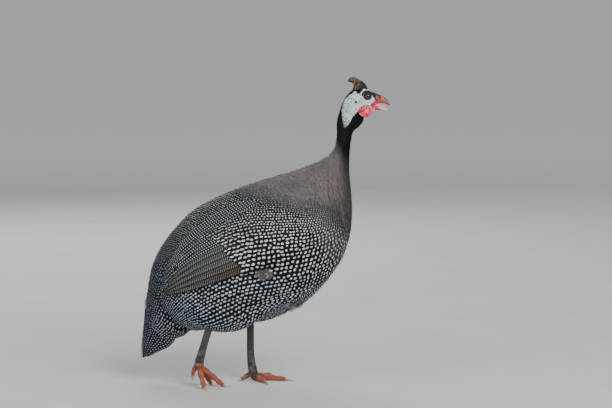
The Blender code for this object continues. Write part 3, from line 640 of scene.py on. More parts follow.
def makeRows():
    # rows start evenly spaced round the reference station, run level to the tail, and follow the drift to the neck
    f, stride, lowest = trunkCoat, 0.02, 3.1
    at = np.arange(0.6, tailRings + 13.6, stride)
    start = int(np.argmin(np.abs(at - tailRings - f["reference"])))
    turn = np.linspace(0, math.pi, 721)
    length = bodyChart.look(at[start], turn)[:, 7] / lieShare(turn)
    sums = np.concatenate([[0], np.cumsum((length[1:] + length[:-1]) / 2) * turn[1]])
    angle = np.zeros((f["rows"], len(at)))
    level = (np.arange(f["rows"]) + 0.5) / f["rows"]
    angle[:, : start + 1] = np.interp(level * sums[-1], sums, turn)[:, None]
    for k in range(start, len(at) - 1):
        half = angle[:, k] + stride / 2 * rowDrift(at[k], np.minimum(angle[:, k], lowest))
        angle[:, k + 1] = angle[:, k] + stride * rowDrift(at[k] + stride / 2, np.minimum(half, lowest))
    points = bodyChart.look(at[None], np.minimum(angle, math.pi))[..., :3]
    ahead = np.gradient(points, axis=1)
    along = np.linalg.norm(ahead, axis=-1)
    ahead = unit(ahead)[:-1]
    toNext = np.diff(points, axis=0)
    gap = np.linalg.norm(toNext - (toNext * ahead).sum(-1, keepdims=True) * ahead, axis=-1)
    gap = np.concatenate([gap[:1], (gap[1:] + gap[:-1]) / 2, gap[-1:]])
    number = np.arange(f["rows"])[:, None] + 1
    every = np.where(gap > f["wide"], 1, 2)  # every row, or each second one, or fewer where they crowd
    for most in (2, 4):
        every = np.where((most * gap < f["thin"]) & (at < tailRings + 4), 2 * most, every)
    gap = np.clip(gap * every, f["thin"], f["most"])
    count = np.cumsum(along / (gap * f["along"]), axis=1)
    count -= count[:, start : start + 1]
    count += number // 2 % 2 * 0.5 + 400
    return dict(at=at, angle=angle, drift=np.gradient(angle, stride, axis=1), gap=gap, count=count,
                live=(angle < math.pi - 0.01) & (number % every == 0))


coatRows = makeRows()


def coatDepth(station):
    # thick on the trunk, thin up the neck, none on the face
    thin, none = ease(station - tailRings, 12.5, 16.5), ease(station - tailRings, 20, 24)
    return trunkCoat["depth"] * (1 - 0.68 * thin) * (1 - none)


def plumageLooks(station, angle, point):
    # dot size, slate share, lilac share and a random draw for feathers at these places
    x, z, b = point[..., 0], point[..., 2], station - tailRings
    upper = 1 - ease(folded(angle), 0.7, 1.5)
    above = z - np.interp(x, *collarLine.T)
    collar = ease(above, -0.006, 0.006)
    front = ease(x - 0.046 - (0.2735 - z) * 0.59, -0.016, 0.032)
    fading = ease(above, -0.034, -0.004)
    dot = (0.285 - 0.02 * front - 0.08 * upper - 0.1 * fading) * (1 - collar)
    tone = np.clip(0.05 + 0.6 * upper + 0.5 * front + 0.45 * fading, 0, 1)
    lilac = np.maximum(np.maximum(collar, 0.58 * front), 0.6 * ease(above, -0.026, -0.002))
    lilac = np.maximum(lilac, 0.25 * upper * ease(b, 8.0, 11.0)) * (1 - ease(b, 14.6, 17.2))
    right = point[..., 1] < 0
    down = (1 - ease(ovalReach(x, z, downPatch), 0.85, 1.45)) * right
    tuft = (1 - ease(ovalReach(x, z, paleTuft), 0.6, 1.1)) * right
    dot = dot * (1 - down) * (1 + 0.45 * tuft)
    lilac = np.maximum(lilac, rng.uniform(0.55, 1.0, b.shape) * down)
    tone = np.maximum(tone, np.maximum(down, 0.8 * tuft)) * (1 - ease(b, 14, 17))
    return np.stack([dot, tone, lilac, rng.random(b.shape)], -1)


def latticePlaces():
    # a feather stands wherever the count along its row passes a whole number, on both sides of the body
    whole, live = np.floor(coatRows["count"]), coatRows["live"]
    row, column = np.nonzero((whole[:, 1:] != whole[:, :-1]) & live[:, 1:] & live[:, :-1])
    found = [np.broadcast_to(coatRows[key], live.shape)[row, column + 1] for key in ("at", "angle", "gap", "drift")]
    return [np.concatenate([values, sign * values]) for values, sign in zip(found, (1, -1, 1, -1))]


def growTrunkCoat():
    # a feather at each place of the rows, sized by their gap, and none over the flight feathers
    f = trunkCoat
    station, angle, gap, drift = latticePlaces()
    found = bodyChart.look(station, angle)
    station = station + rng.normal(0, f["shift"][0], len(station)) * gap / found[:, 6]
    angle = angle + rng.normal(0, f["shift"][1], len(angle)) * gap / found[:, 7]
    found = bodyChart.look(station, angle)
    _, reach, along, row = armHeight(found)
    tipAt, tipRow, slant = wingForm["tipLine"]
    ending = tipAt + (row - tipRow) * slant - along  # how far the wing's coverts still run
    keep = ~((reach > np.where(row > 4.5, 0.011, 0.0025)) & (ending < 0)) & (station > tailRings + f["lastAt"])
    station, angle, gap, drift, found, reach, along, row, ending = (
        values[keep] for values in (station, angle, gap, drift, found, reach, along, row, ending))
    count = len(station)
    length = gap * f["length"] * rng.uniform(*f["lengthRange"], count)
    width = gap * f["width"] * rng.uniform(*f["widthRange"], count)
    dotAt = gap * f["dotAt"]
    root = station + (length - dotAt) / found[:, 6]  # the dot, not the root, stands on the lattice
    dotLift = found[:, 8]
    slack = np.where((row < 4.5) & (along > 0.32) & (reach > -0.02), 0.0003, 0.003)

    def raised(uu, vv, t):
        # the wing's lift where the vane lies, held near the lift at its dot, and lower towards the root
        least = (dotLift - slack)[:, None, None] - f["rootUnder"] * (1 - t)
        most = (dotLift + slack)[:, None, None]
        return np.clip(bodyChart.look(uu, vv)[..., 8], np.maximum(least, 0), most) + tailLift(uu)

    looks = plumageLooks(station, angle, found)
    dash = (reach > 0) * (1 - ease(ending, 0.05, 0.24)) * ease(row, 1.0, 3.5)  # near the coverts' ends
    stretch = f["dotStretch"] + f["dotDash"] * rng.random(count) ** 2 + dash
    looks[:, 0] *= rng.uniform(*f["sizeRange"], count) * (f["dotStretch"] / stretch) ** f["dotShare"]
    drift = drift + rng.normal(0, 0.2, count) * found[:, 6] / found[:, 7]
    axis = unit(np.stack([drift * found[:, 7], -found[:, 6]], -1)).T
    laid = layFeathers(root, angle, rng.normal(0, f["turn"], count), gap, length, width,
                       f["rootAbove"] - coatDepth(root), f["tipAbove"], f["arch"], dotAt, looks, axis, stretch, raised)
    coatPieces("coat_trunk", laid, "spotted")


growTrunkCoat()


def growWisps(name, f):
    # slim plumes that stand off the body, each at a random place inside an oval seen from the right side
    station = rng.uniform(tailRings, tailRings + 12, 60000)
    angle = rng.uniform(-math.pi, 0, 60000)
    found = bodyChart.look(station, angle)
    inside = (ovalReach(found[:, 0], found[:, 2], f) < 1) & (found[:, 1] < 0)
    chosen = np.nonzero(inside)[0][:f["count"]]
    count = len(chosen)
    looks = np.stack([np.where(rng.random(count) < f["pale"], 1.6, 0.0), np.full(count, 0.9),
                      rng.uniform(0.55, 1.0, count), rng.random(count)], -1)
    spacing = 0.004
    laid = layFeathers(station[chosen], angle[chosen], rng.normal(0.0, 0.45, count), spacing,
                       rng.uniform(*f["reach"], count), rng.uniform(0.0012, 0.0022, count), 0.0002,
                       rng.uniform(*f["lift"], count), 0.02, spacing, looks,
                       raised=lambda u, v, t: bodyChart.look(u, v)[..., 8], rows=12, columns=5)
    coatPieces(name, laid, "lilac")


growWisps("coat_wisps", dict(x=0.044, z=0.118, length=0.017, height=0.012, count=110, pale=0.45,
                             reach=(0.009, 0.015), lift=(0.0015, 0.0048)))
growWisps("coat_down", dict(x=0.0025, z=0.1732, length=0.01, height=0.0058, count=130, pale=0.16,
                            reach=(0.005, 0.009), lift=(0.0006, 0.0022)))


facePatch = np.array([  # the bare white face, seen from its side
    (131.3, 438.2), (133.1, 440.5), (137.3, 441.2), (140.5, 439.1), (142.1, 436.6), (143.2, 439.1), (146, 442.8),
    (148.8, 444.2), (152.9, 444), (156.1, 442.6), (160.3, 439.4), (163.9, 433.9), (167.5, 429.2), (167.5, 420.4),
    (161.7, 417.9), (158, 416.9), (151.2, 413.4), (144, 412), (140.4, 411.6), (138.2, 409.4), (135.6, 406.4),
    (132.6, 403.2), (130.2, 400), (129.4, 397), (128.1, 393.6), (125.5, 390.6), (122.4, 388), (119.3, 384.1),
    (117.4, 384.9), (116.7, 389.4), (115.2, 396.9), (114.4, 407.4), (114.4, 414.9), (116.7, 422.4), (119.7, 429.9),
    (124.2, 433.7), (127.2, 437.5)]) / 1000
browLine = np.array([
    (144.9, 434.6), (146.7, 438.2), (149.7, 440.2), (155.2, 440.2), (159.3, 437.6), (162.8, 433),
    (166.2, 427.6)]) / 1000
gapePatch = np.array([
    (150.6, 417.7), (154.3, 417.3), (158, 419.1), (160.3, 421.6), (161.6, 423.5), (163.9, 423.9), (165.5, 426.2),
    (168, 428), (168, 409), (155, 409), (148, 412)]) / 1000
creaseLine = np.array([
    (158.7, 418.9), (159.8, 422.1), (161.7, 423.6), (163.9, 424), (165, 426.4), (166.2, 427.6)]) / 1000
eyeSpot = dict(x=0.1528, y=0.0076, z=0.4322, radius=0.0055, lid=0.0046, oval=1.08, lidOut=0.004)
earSpot = dict(x=0.1357, z=0.4243, oval=1.2)


def faceReach(x, z):
    # signed distance into the bare face: inside positive, with the brow line and the lid's ring cut out of it
    brow = segmentGap(x, z, browLine) - 0.0013
    ring = np.hypot((x - eyeSpot["x"] - 0.0004) / 1.06, z - eyeSpot["z"] - 0.001) - 0.0063
    face = np.minimum(np.minimum(insideReach(x, z, facePatch), brow), ring)
    return np.maximum(face, insideReach(x, z, gapePatch))


def earReach(x, z):
    # distance from the ear's middle, as an upright oval
    return np.hypot(x - earSpot["x"], (z - earSpot["z"]) / earSpot["oval"])


def faceSculpt(x, z):
    # the socket sinks round the eye, the ear is a pit with a low rim, the brow stands up and the gape is a groove
    fromEye = np.hypot((x - eyeSpot["x"]) / eyeSpot["oval"], z - eyeSpot["z"])
    fromEar = earReach(x, z)
    cheek = ovalReach(x, z, dict(x=0.148, z=0.4215, length=0.01, height=0.0045))
    gape = segmentGap(x, z, np.array([(0.156, 0.4205), (0.161, 0.419), (0.167, 0.4195)]))
    height = -0.003 * bell(fromEye, 0.0047, 6) - 0.0004 * bell(fromEye - 0.0072, 0.0016)
    height += -0.0024 * bell(fromEar, 0.0013, 4) + 0.00035 * bell(fromEar - 0.0021, 0.0006)
    height += 0.0005 * bell(segmentGap(x, z, browLine), 0.0012) + 0.0006 * bell(cheek, 1.0)
    return (height - 0.0008 * bell(gape, 0.0009)) * ease(x, 0.12, 0.132)


skinForm = dict(columns=208, bodyRows=210, headRows=170, headFrom=17.5)
skinColours = dict(
    blue=(0.24, 0.4, 0.46), white=(0.82, 0.92, 0.9), wart=(0.93, 0.95, 0.92), streak=(0.16, 0.3, 0.36),
    # pit is painted shade in the ear's hollow, and crease is painted shade along the gape's fold
    pit=(0.02, 0.03, 0.034), deepRed=(0.42, 0.01, 0.028), red=(0.86, 0.11, 0.15), creaseShade=(0.06, 0.006, 0.01),
    black=(0.0035, 0.0035, 0.006), slate=(0.01, 0.009, 0.014))


def skinMaterial():
    # the plumage's look on the body; on the head black skin, and a bare white face with folds, warts and red gape
    finish, c = Finish("faceAndBodySkin"), skinColours
    place = finish.place
    shade, _ = plumageNodes(finish, rowedVector(finish))
    ahead = split(place)[0]
    ragged = noise(scaled(place, 0.5, 1.0, 1.2), 620.0, 3.0, 0.7) - 0.52
    ragged = ragged * (soften(ahead, 0.147, 0.134) * 0.0095 + 0.0016)
    bare = soften(finish.read("face") + ragged, -0.0002, 0.0003)
    warts = noise(place, 1500.0, 3.0, 0.6)
    fold = noise(scaled(place, 1.0, 1.0, 2.6), 320.0, 3.0, 0.6)
    streaks = noise(scaled(place, 0.45, 1.0, 1.5), 430.0, 3.0, 0.6)
    rear = soften(ahead + fold * 0.02, 0.146, 0.128)
    white = mix(soften(fold, 0.4, 0.58), c["blue"], c["white"])
    white = mix(soften(warts, 0.52, 0.7), white, c["wart"])
    white = mix(rear * soften(streaks, 0.48, 0.6), white, c["streak"])
    # near-black in the ear's pit: painted shade in the hollow
    white = mix(finish.read("pit"), white, c["pit"])
    white = mix(finish.read("red"), white, mix(soften(fold, 0.4, 0.62), c["deepRed"], c["red"]))
    # dark red along the crease by the gape: painted shade
    white = mix(finish.read("creaseShade"), white, c["creaseShade"])
    head = mix(bare, mix(fold, c["black"], c["slate"]), white)
    return finish.done(mix(finish.read("onHead"), shade, head), 0.5, (fold + warts * 0.5, 0.0007, 0.7), shine=0.22)


def markingMap(at, angle):
    # the row of dots and the place in it at each point of the skin, read off the coat's rows
    number = np.arange(trunkCoat["rows"])
    offset = (number + 1) // 2 % 2 * 0.5
    places = []
    for column in np.clip(np.searchsorted(coatRows["at"], at), 0, len(coatRows["at"]) - 1):
        row = np.interp(folded(angle), coatRows["angle"][:, column], number)
        places.append(np.stack([row / 2 + 1, np.interp(row, number, coatRows["count"][:, column] - offset) + 0.5], -1))
    return np.array(places)


def makeSkin():
    # the body's own surface, sunk by the coat's depth and sculpted on the face
    f, change = skinForm, tailRings + skinForm["headFrom"]
    at = np.concatenate([np.linspace(0.0, change, f["bodyRows"], endpoint=False),
                         np.linspace(change, lastStation, f["headRows"])])
    s, a = crossed(at, circle(f["columns"]))
    found = bodyChart.look(s, a)
    x, z = found[..., 0], found[..., 2]
    face, onHead = faceReach(x, z), ease(s - tailRings, 18.0, 20.5)
    covered = coatDepth(s) * (1 - ease(face, -0.0012, 0.0002) * onHead)
    height = faceSculpt(x, z) * onHead - covered - 0.0002
    red = ease(insideReach(x, z, gapePatch), -0.0005, 0.0005)
    red = np.maximum(red, 0.5 * bell(np.hypot(x - 0.1645, z - 0.4268), 0.0016))
    looks = plumageLooks(s, a, found)
    looks[..., 3] = 0.4
    makePiece("skin", raisedPoints(found, height), skinMaterial(), "white_skin",
              "torso", "neck", "head", "thigh_left", "thigh_right", maps={"dots": markingMap(at, a[0])},
              layers={"looks": looks, "face": face, "onHead": onHead, "red": red,
                      "pit": 1 - ease(earReach(x, z), 0.0012, 0.0024),
                      "creaseShade": 0.9 * (1 - ease(segmentGap(x, z, creaseLine), 0.0002, 0.0009))})
    print("skin done", s.size)


makeSkin()

neckCoat = dict(start=12.9, end=27.0, spacingAt=(12.9, 15, 17, 20, 27),
                spacing=(0.0043, 0.0032, 0.0021, 0.0016, 0.0013), fewest=8, shift=0.05,
                length=3.3, lengthRange=(0.85, 1.15), width=1.35, turn=0.1, arch=0.04)


def growNeckCoat():
    # rings of slim feathers up the neck, as far apart as their spacing, and none on the bare face and the bill
    f = neckCoat
    at = np.linspace(tailRings + f["start"], tailRings + f["end"], 600)
    ring = bodyChart.look(*crossed(at, circle(64)))
    around = ring[..., 7].mean(1) * 2 * math.pi
    spacing = np.interp(at - tailRings, f["spacingAt"], f["spacing"])
    side = np.linalg.norm(np.diff(ring[:, :, :3], axis=0, prepend=ring[:1, :, :3]), axis=-1).max(1)
    whole = np.floor(np.cumsum(side / spacing))
    rings = []
    for index in np.nonzero(whole[1:] != whole[:-1])[0] + 1:
        many = max(f["fewest"], int(around[index] / spacing[index]))
        angle = (np.arange(many) + rng.random()) * 2 * math.pi / many
        rings.append(np.stack([np.full(many, at[index]), angle, np.full(many, spacing[index])]))
    station, angle, gap = np.concatenate(rings, 1)
    station = station + rng.normal(0, f["shift"], len(station))
    found = bodyChart.look(station, angle)
    x, z = found[:, 0], found[:, 2]
    keep = (faceReach(x, z) < -0.0004 + rng.random(len(station)) * 0.0006) & (found[:, 6] >= 0.0022)
    keep &= rng.random(len(station)) < np.clip(found[:, 6] / 0.009, 0.25, 1)
    keep &= ~((x > 0.158) | ((x > 0.142) & (z > 0.424)) | ((x > 0.148) & (z < 0.418)))
    station, angle, gap, found = station[keep], angle[keep], gap[keep], found[keep]
    length = gap * f["length"] * rng.uniform(*f["lengthRange"], len(gap))
    looks = plumageLooks(station, angle, found)
    looks[:, 0] = 0
    laid = layFeathers(station, angle, rng.normal(0, f["turn"], len(gap)), gap, length, gap * f["width"],
                       0.0002 - coatDepth(station), 0.0003, f["arch"], gap, looks, rows=6, columns=4)
    coatPieces("coat_neck", laid, "lilac")


growNeckCoat()


def makeArm(side):
    # the wing's front part, a hair below the coverts, with its rim tucked in
    spacing = wingForm["covertSpacing"]
    a, r = crossed(np.linspace(0, wingForm["armEnd"], 60), np.linspace(0, wingRows, 50))
    found = wingCharts[side].look(a, r)
    height = armHeight(found)[0] - trunkCoat["depth"] - 0.0003
    height[:, (0, -1)] = height[(0, -1), :] = -0.004
    dots = np.stack([r * found[..., 7], a * found[..., 6]], -1) / spacing
    makePiece(f"wing_arm_{side}", raisedPoints(found, height), rowedPlumage, "spotted", f"wing_{side}",
              form="sheet", outward=found[..., 3:6], maps={"dots": dots},
              layers={"looks": np.tile([0.27, 0.15, 0.0, 0.4], (60, 50, 1))})


barForm = dict(period=0.0035, slant=0.48, shaftAt=0.0068, dotGap=0.004, dotSize=0.23)
barColours = dict(
    web=(0.011, 0.013, 0.014), brownWeb=(0.022, 0.013, 0.007), pale=(0.235, 0.255, 0.235),
    brownPale=(0.125, 0.092, 0.05), rim=(0.006, 0.006, 0.007), shaft=(0.008, 0.008, 0.009),
    ground=(0.006, 0.007, 0.009), dot=(0.42, 0.47, 0.5))


def barredMaterial():
    # grey outer web with fine pale bars slanted over it, a dark edge and shaft, and small dots on the upper quills
    finish, f, c = Finish("barredQuill"), barForm, barColours
    vane = finish.map("vane")
    u, v, _ = split(vane)
    barShare, brown, dotShare = split(finish.read("looks", "Color"), "Color")
    wobble = noise(scaled(vane, 180.0, 420.0, 1.0), 1.0)
    bars = calc("SINE", (u * f["slant"] + v) * (2 * math.pi / f["period"]) + wobble * 1.6)
    web, pale = mix(brown, c["web"], c["brownWeb"]), mix(brown, c["pale"], c["brownPale"])
    outer = mix(soften(bars, -0.25, 0.65) * barShare, web, pale)
    outer = mix(soften(u, 0.0019, 0.0007) * 0.92, outer, c["rim"])
    outer = mix(soften(calc("ABSOLUTE", u - f["shaftAt"]), 0.0007, 0.0002), outer, c["shaft"])
    du, dv = staggered(u / f["dotGap"], v / f["dotGap"])
    far = calc("SQRT", du * du + dv * dv)
    dots = mix(soften(far, f["dotSize"] + 0.06, f["dotSize"] - 0.02), c["ground"], c["dot"])
    barb = noise(scaled(vane, 900.0, 6000.0, 1.0), 1.0, 1.0)
    return finish.done(mix(dotShare, outer, dots), 0.5, (barb, 0.0003, 0.6), shine=0.18)


barredQuill = barredMaterial()
vaneOutline = np.array([  # place along a vane and its share of the width
    (0, 0.3), (0.18, 0.75), (0.42, 1), (0.7, 1), (0.86, 0.86), (0.95, 0.62), (1, 0.28)])
quillForm = dict(rows=44, columns=9, step=0.00115, lift=0.0007, ripple=0.00012, rim=0.0006, thickness=0.0003)


def quillVane(place, root, tip, row, width, low, turn=1, mostRow=np.inf, level=False):
    # its open edge follows the row, and the rest runs under the next vane: the height falls by a step from row to row
    f = quillForm
    t, w = crossed(np.linspace(0, 1, f["rows"]), np.linspace(0, 1, f["columns"]))
    shape = np.interp(t, *vaneOutline.T)
    reach = min(width, abs(mostRow - row))
    steps = reach / 2 * (1 - shape) + reach * shape * w
    height = low + f["lift"] + (0 if level else f["step"]) * (width - steps) - f["rim"] * (1 - w) ** 6
    height = height + f["ripple"] * np.sin(t * 60 + row) * (1 - w)
    along = root + (tip - root) * t
    vane = np.stack([place(along, row + turn * steps, height + above) for above in (0, 0.001)])
    return vane if turn > 0 else vane[:, :, ::-1]


def quillPiece(name, grids, material, looks, *replaces, uvScale=1.0):
    # vanes laid one on another, with lengths along and across each as their map
    vanes = np.array(grids)
    points, outward = vanes[:, 0], vanes[:, 1] - vanes[:, 0]
    steps = [np.diff(points, axis=axis, prepend=points.take([0], axis)) for axis in (2, 1)]
    uv = np.stack([np.linalg.norm(step, axis=-1).cumsum(axis) for step, axis in zip(steps, (2, 1))], -1) * uvScale
    made = makePiece(name, points, material, "spotted", *replaces, form="sheet", outward=outward,
                     maps={"vane": uv, "dots": uv}, layers={"looks": looks})
    solid = made.modifiers.new("vaneThickness", "SOLIDIFY")
    solid.thickness, solid.offset = quillForm["thickness"], 0


def makeQuills(side):
    # the secondaries, each a row above the last: brown at the lowest, dotted at the uppermost
    grids, looks = [], []
    t = crossed(np.linspace(0, 1, quillForm["rows"]), np.ones(quillForm["columns"]))[0]
    for i in range(wingForm["secondaries"]):
        tip = 0.985 - 0.012 * abs(i - 2)
        low = wingForm["inner"] + 0.0004
        grids.append(quillVane(wingCharts[side].place, 0.4, tip, i, wingForm["width"], low, mostRow=wingRows + 0.9))
        brown = (1 - ease(i, 0, 2.0)) * (1 - ease(t, 0.3, 0.8)) * 0.8
        dotted = 0 * t + (i >= 5)
        looks.append(np.stack([1.0 - 0.3 * t, brown, dotted, 0 * t + rng.random()], -1))
    quillPiece(f"secondaries_{side}", grids, barredQuill, np.array(looks))


for sideName in ("left", "right"):
    makeArm(sideName)
    makeQuills(sideName)
print("wings done")

tailForm = dict(pairs=6, width=2.2, low=0.0002, root=0.12, dotSpacing=0.0042)


def tailPlace(along, row, height):
    # a roof: from the right edge (row 0) over the ridge (row 6) to the left edge (row 12)
    turn, small = math.pi / 2 * row / tailForm["pairs"], 1e-3

    def bare(along, row):
        turn = math.pi / 2 * row / tailForm["pairs"]
        ridge, edge, half = (spline(line, along * 3) for line in (tailRidge, tailEdge, tailHalfWidth))
        xz = edge + (ridge - edge) * np.sin(turn)[..., None]
        return np.stack([xz[..., 0], -half[..., 0] * np.cos(turn), xz[..., 1]], -1)

    normal = unit(np.cross(bare(along + small, row) - bare(along - small, row),
                           bare(along, row + small) - bare(along, row - small)))
    normal *= np.sign(-normal[..., 1] * np.cos(turn) - normal[..., 0] * np.sin(turn))[..., None]
    return bare(along, row) + normal * height[..., None]


def makeTail():
    # quills in pairs from the edges up to the ridge, and one along it
    f, grids = tailForm, []
    pairs = f["pairs"]
    for i in range(pairs):
        tip = 0.985 - 0.03 * (pairs - 1 - i) / pairs
        for turn, row in ((1, i), (-1, 2 * pairs - i)):
            grids.append(quillVane(tailPlace, f["root"], tip, row, f["width"], f["low"], turn, pairs - 0.14 * turn))
    top = f["low"] + quillForm["step"] * (f["width"] + 1)
    grids.append(quillVane(tailPlace, f["root"], 0.995, pairs - 0.8, 1.6, top, level=True))
    looks = np.tile([0.24, 0.15, 0.0, 0.4], (len(grids), quillForm["rows"], quillForm["columns"], 1))
    quillPiece("tail_quills", grids, rowedPlumage, looks, "tail", uvScale=1 / f["dotSpacing"])


makeTail()


def loftRings(stations, rows, columns):
    # the stations' rings at even steps, with the step and the angle of each point
    at, angle = crossed(np.linspace(0, len(stations) - 1, rows), circle(columns))
    return ringShape(np.pad(stations, ((0, 0), (0, 1))), at, angle)[0], at, angle


# back (x, z), belly (x, z) and half width of each station
helmetStations = np.array([
    (154, 436, 129, 433, 6.4), (154.3, 441.5, 128.6, 438.5, 6.2), (153.2, 445.6, 130.5, 442.5, 5.2),
    (150.4, 450.1, 132.2, 446.8, 4.4), (146.6, 454, 132, 450.3, 3.9), (141.3, 457.6, 130, 453, 3.4),
    (136.1, 460.4, 126.8, 453.8, 2.9), (130.8, 461.3, 124.5, 454.1, 2.4), (126.2, 460.4, 123, 455.3, 1.6)]) / 1000
upperBillStations = np.array([
    (162.2, 435.6, 162.6, 422.6, 6), (166, 436.6, 166.4, 421.6, 6.4), (170.7, 435, 170.9, 422.2, 6),
    (176.7, 432.3, 176.7, 422.1, 5.1), (182, 428.4, 181.6, 420.8, 3.8), (185.7, 424.2, 185, 418.9, 2.4),
    (187.8, 419.6, 187.2, 417, 1)]) / 1000
lowerBillStations = np.array([
    (162.8, 418.4, 163, 412.2, 5.4), (166.4, 418.6, 166.5, 411.9, 5.8), (172.2, 418, 172.3, 411.5, 5.2),
    (179.5, 415.8, 179.2, 410.8, 3.8), (184.5, 413.2, 184.2, 411.1, 1.4)]) / 1000
tongueStations = np.array([
    (163, 420.6, 163, 416, 3.4), (170, 420.3, 170, 416.5, 3.4), (176.5, 419.2, 176.5, 416, 2.7),
    (181.5, 417.6, 181.5, 415.8, 1)]) / 1000


hornColours = dict(
    darkBrown=(0.03, 0.014, 0.006), brown=(0.235, 0.105, 0.04), tan=(0.42, 0.27, 0.2), olive=(0.04, 0.036, 0.02),
    paleOlive=(0.175, 0.16, 0.11), black=(0.004, 0.006, 0.012), slate=(0.05, 0.06, 0.085),
    under=(0.005, 0.005, 0.006))


def hornMaterial():
    # streaked brown horn, olive towards the tip, and dark with cloudy edges in front and at the root
    finish, c = Finish("helmetHorn"), hornColours
    place, up, front = finish.place, finish.read("up"), finish.read("front")
    patch = noise(place, 260.0, 3.0, 0.6)
    grain = noise(scaled(place, 2.2, 2.2, 0.8), 900.0, 3.0, 0.7)
    streak = noise(scaled(place, 1.0, 1.0, 0.35), 420.0)
    brown = mix(soften(streak, 0.38, 0.6), c["darkBrown"], c["brown"])
    brown = mix(soften(streak, 0.6, 0.7), brown, c["tan"])
    brown = mix(soften(front * 0.35 + up, 0.62, 0.8), brown, mix(grain, c["olive"], c["paleOlive"]))
    dark = mix(soften(patch, 0.58, 0.68), c["black"], c["slate"])
    cloudy = (patch - 0.5) * 0.5
    shade = mix(soften(front + cloudy, 0.42, 0.66), brown, dark)
    shade = mix(soften(up + cloudy * 0.5, 0.26, 0.14), shade, dark)
    # near-black under the hooked tip: painted shade
    shade = mix(finish.read("under"), shade, c["under"])
    return finish.done(shade, grain * 0.3 + 0.35, (grain + patch, 0.0006, 0.7), shine=0.25)


def makeHelmet():
    # a loft over the crown with low rings and ribs
    points, at, angle = loftRings(helmetStations, 90, 72)
    ring = 0.00022 * np.sin(at * 9) * ease(at, 1.0, 3.0) + 0.0003 * np.sin(angle * 3 + at * 2) * ease(at, 1, 2)
    points = points + unit(points - points.mean(1, keepdims=True)) * ring[..., None] * 0.6
    makePiece("helmet_horn", points, hornMaterial(), "helmet_horn", "helmet",
              layers={"up": at / 8, "front": (np.cos(angle) + 1) / 2 * (1 - ease(at, 3.0, 6.5)),
                      "under": ease(-np.cos(angle), 0.45, 0.8) * ease(at, 4.0, 5.5) * 0.9})


makeHelmet()

billForm = dict(root=0.166, upper=0.0218, lower=0.019, nostril=dict(x=0.1716, z=0.4302, length=0.0019, height=0.001))
billColours = dict(
    deepRed=(0.42, 0.012, 0.03), red=(0.8, 0.07, 0.11), cream=(0.62, 0.44, 0.36), paleCream=(0.84, 0.7, 0.6),
    horn=(0.25, 0.07, 0.075), paleHorn=(0.46, 0.19, 0.18), rim=(0.22, 0.012, 0.018), dark=(0.03, 0.006, 0.014),
    maroon=(0.11, 0.03, 0.045), orange=(0.5, 0.165, 0.03), tip=(0.46, 0.38, 0.3))


def billMaterial(name, lower):
    # red at the root; cream outwards below; pink horn with a dark ridge, an orange spot and a pale tip above
    finish, c = Finish(name), billColours
    grain = noise(scaled(finish.place, 0.4, 1.0, 1.4), 900.0, 3.0)
    broad = noise(finish.place, 240.0)
    out, ridge = finish.read("out") + (broad - 0.5) * 0.24, finish.read("ridge")
    red = mix(soften(broad, 0.4, 0.6), c["deepRed"], c["red"])
    if lower:
        shade = mix(soften(out + ridge * 0.35, 0.34, 0.62), red, mix(grain, c["cream"], c["paleCream"]))
    else:
        shade = mix(soften(out, 0.3, 0.62), red, mix(grain, c["horn"], c["paleHorn"]))
        height = ridge + (broad - 0.5) * 0.2
        shade = mix(soften(height, 0.16, 0.05), shade, c["rim"])
        border = soften(out, 0.28, 0.48) * 0.24 + 0.64
        shade = mix(soften(height - border, -0.05, 0.06), shade, mix(grain, c["dark"], c["maroon"]))
        aside, over = calc("ABSOLUTE", out - 0.44), calc("ABSOLUTE", ridge - 0.8)
        shade = mix(soften(aside, 0.17, 0.08) * soften(over, 0.19, 0.09), shade, c["orange"])
        shade = mix(soften(out, 0.84, 0.98), shade, c["tip"])
    return finish.done(shade, 0.38, (grain, 0.0004, 0.5))


def makeBill():
    # a loft for each half; the nostrils are pressed into the upper one's sides
    for half, stations in (("upper", upperBillStations), ("lower", lowerBillStations)):
        points, _, angle = loftRings(stations, 70, 56)
        x, y, z = points[..., 0], points[..., 1], points[..., 2]
        if half == "upper":
            y -= np.sign(y) * 0.0022 * bell(ovalReach(x, z, billForm["nostril"]), 1, 4)
        horn = billMaterial(half + "_billHorn", half == "lower")
        makePiece(half + "_bill", points, horn, "bill_horn", "bill_" + half,
                  layers={"out": (x - billForm["root"]) / billForm[half], "ridge": (1 + np.cos(angle)) / 2})


makeBill()


def plainMaterial(name, dark, light, scale, roughness, bump, detail=3.0):
    # two shades mixed by one fine noise, which also raises it
    finish = Finish(name)
    fine = noise(finish.place, scale, detail)
    return finish.done(mix(fine, dark, light), roughness, (fine, *bump))


tongueSkin = plainMaterial("tongueFlesh", (0.66, 0.42, 0.34), (0.88, 0.72, 0.6), 900.0, 0.4, (0.0004, 0.6))
makePiece("tongue", loftRings(tongueStations, 40, 36)[0], tongueSkin, "red_skin")

wattleForm = dict(x=0.1522, z=0.4106, length=0.0126, height=0.0091, thick=0.0018, flare=0.0012, full=0.4,
                  cheek=(0.14, 0.024, 0.0138, 0.0016, 0.0042))
wattleColours = dict(
    deep=(0.46, 0.008, 0.026), red=(0.9, 0.075, 0.12), pink=(0.95, 0.34, 0.37), highlightFleck=(0.95, 0.62, 0.6))


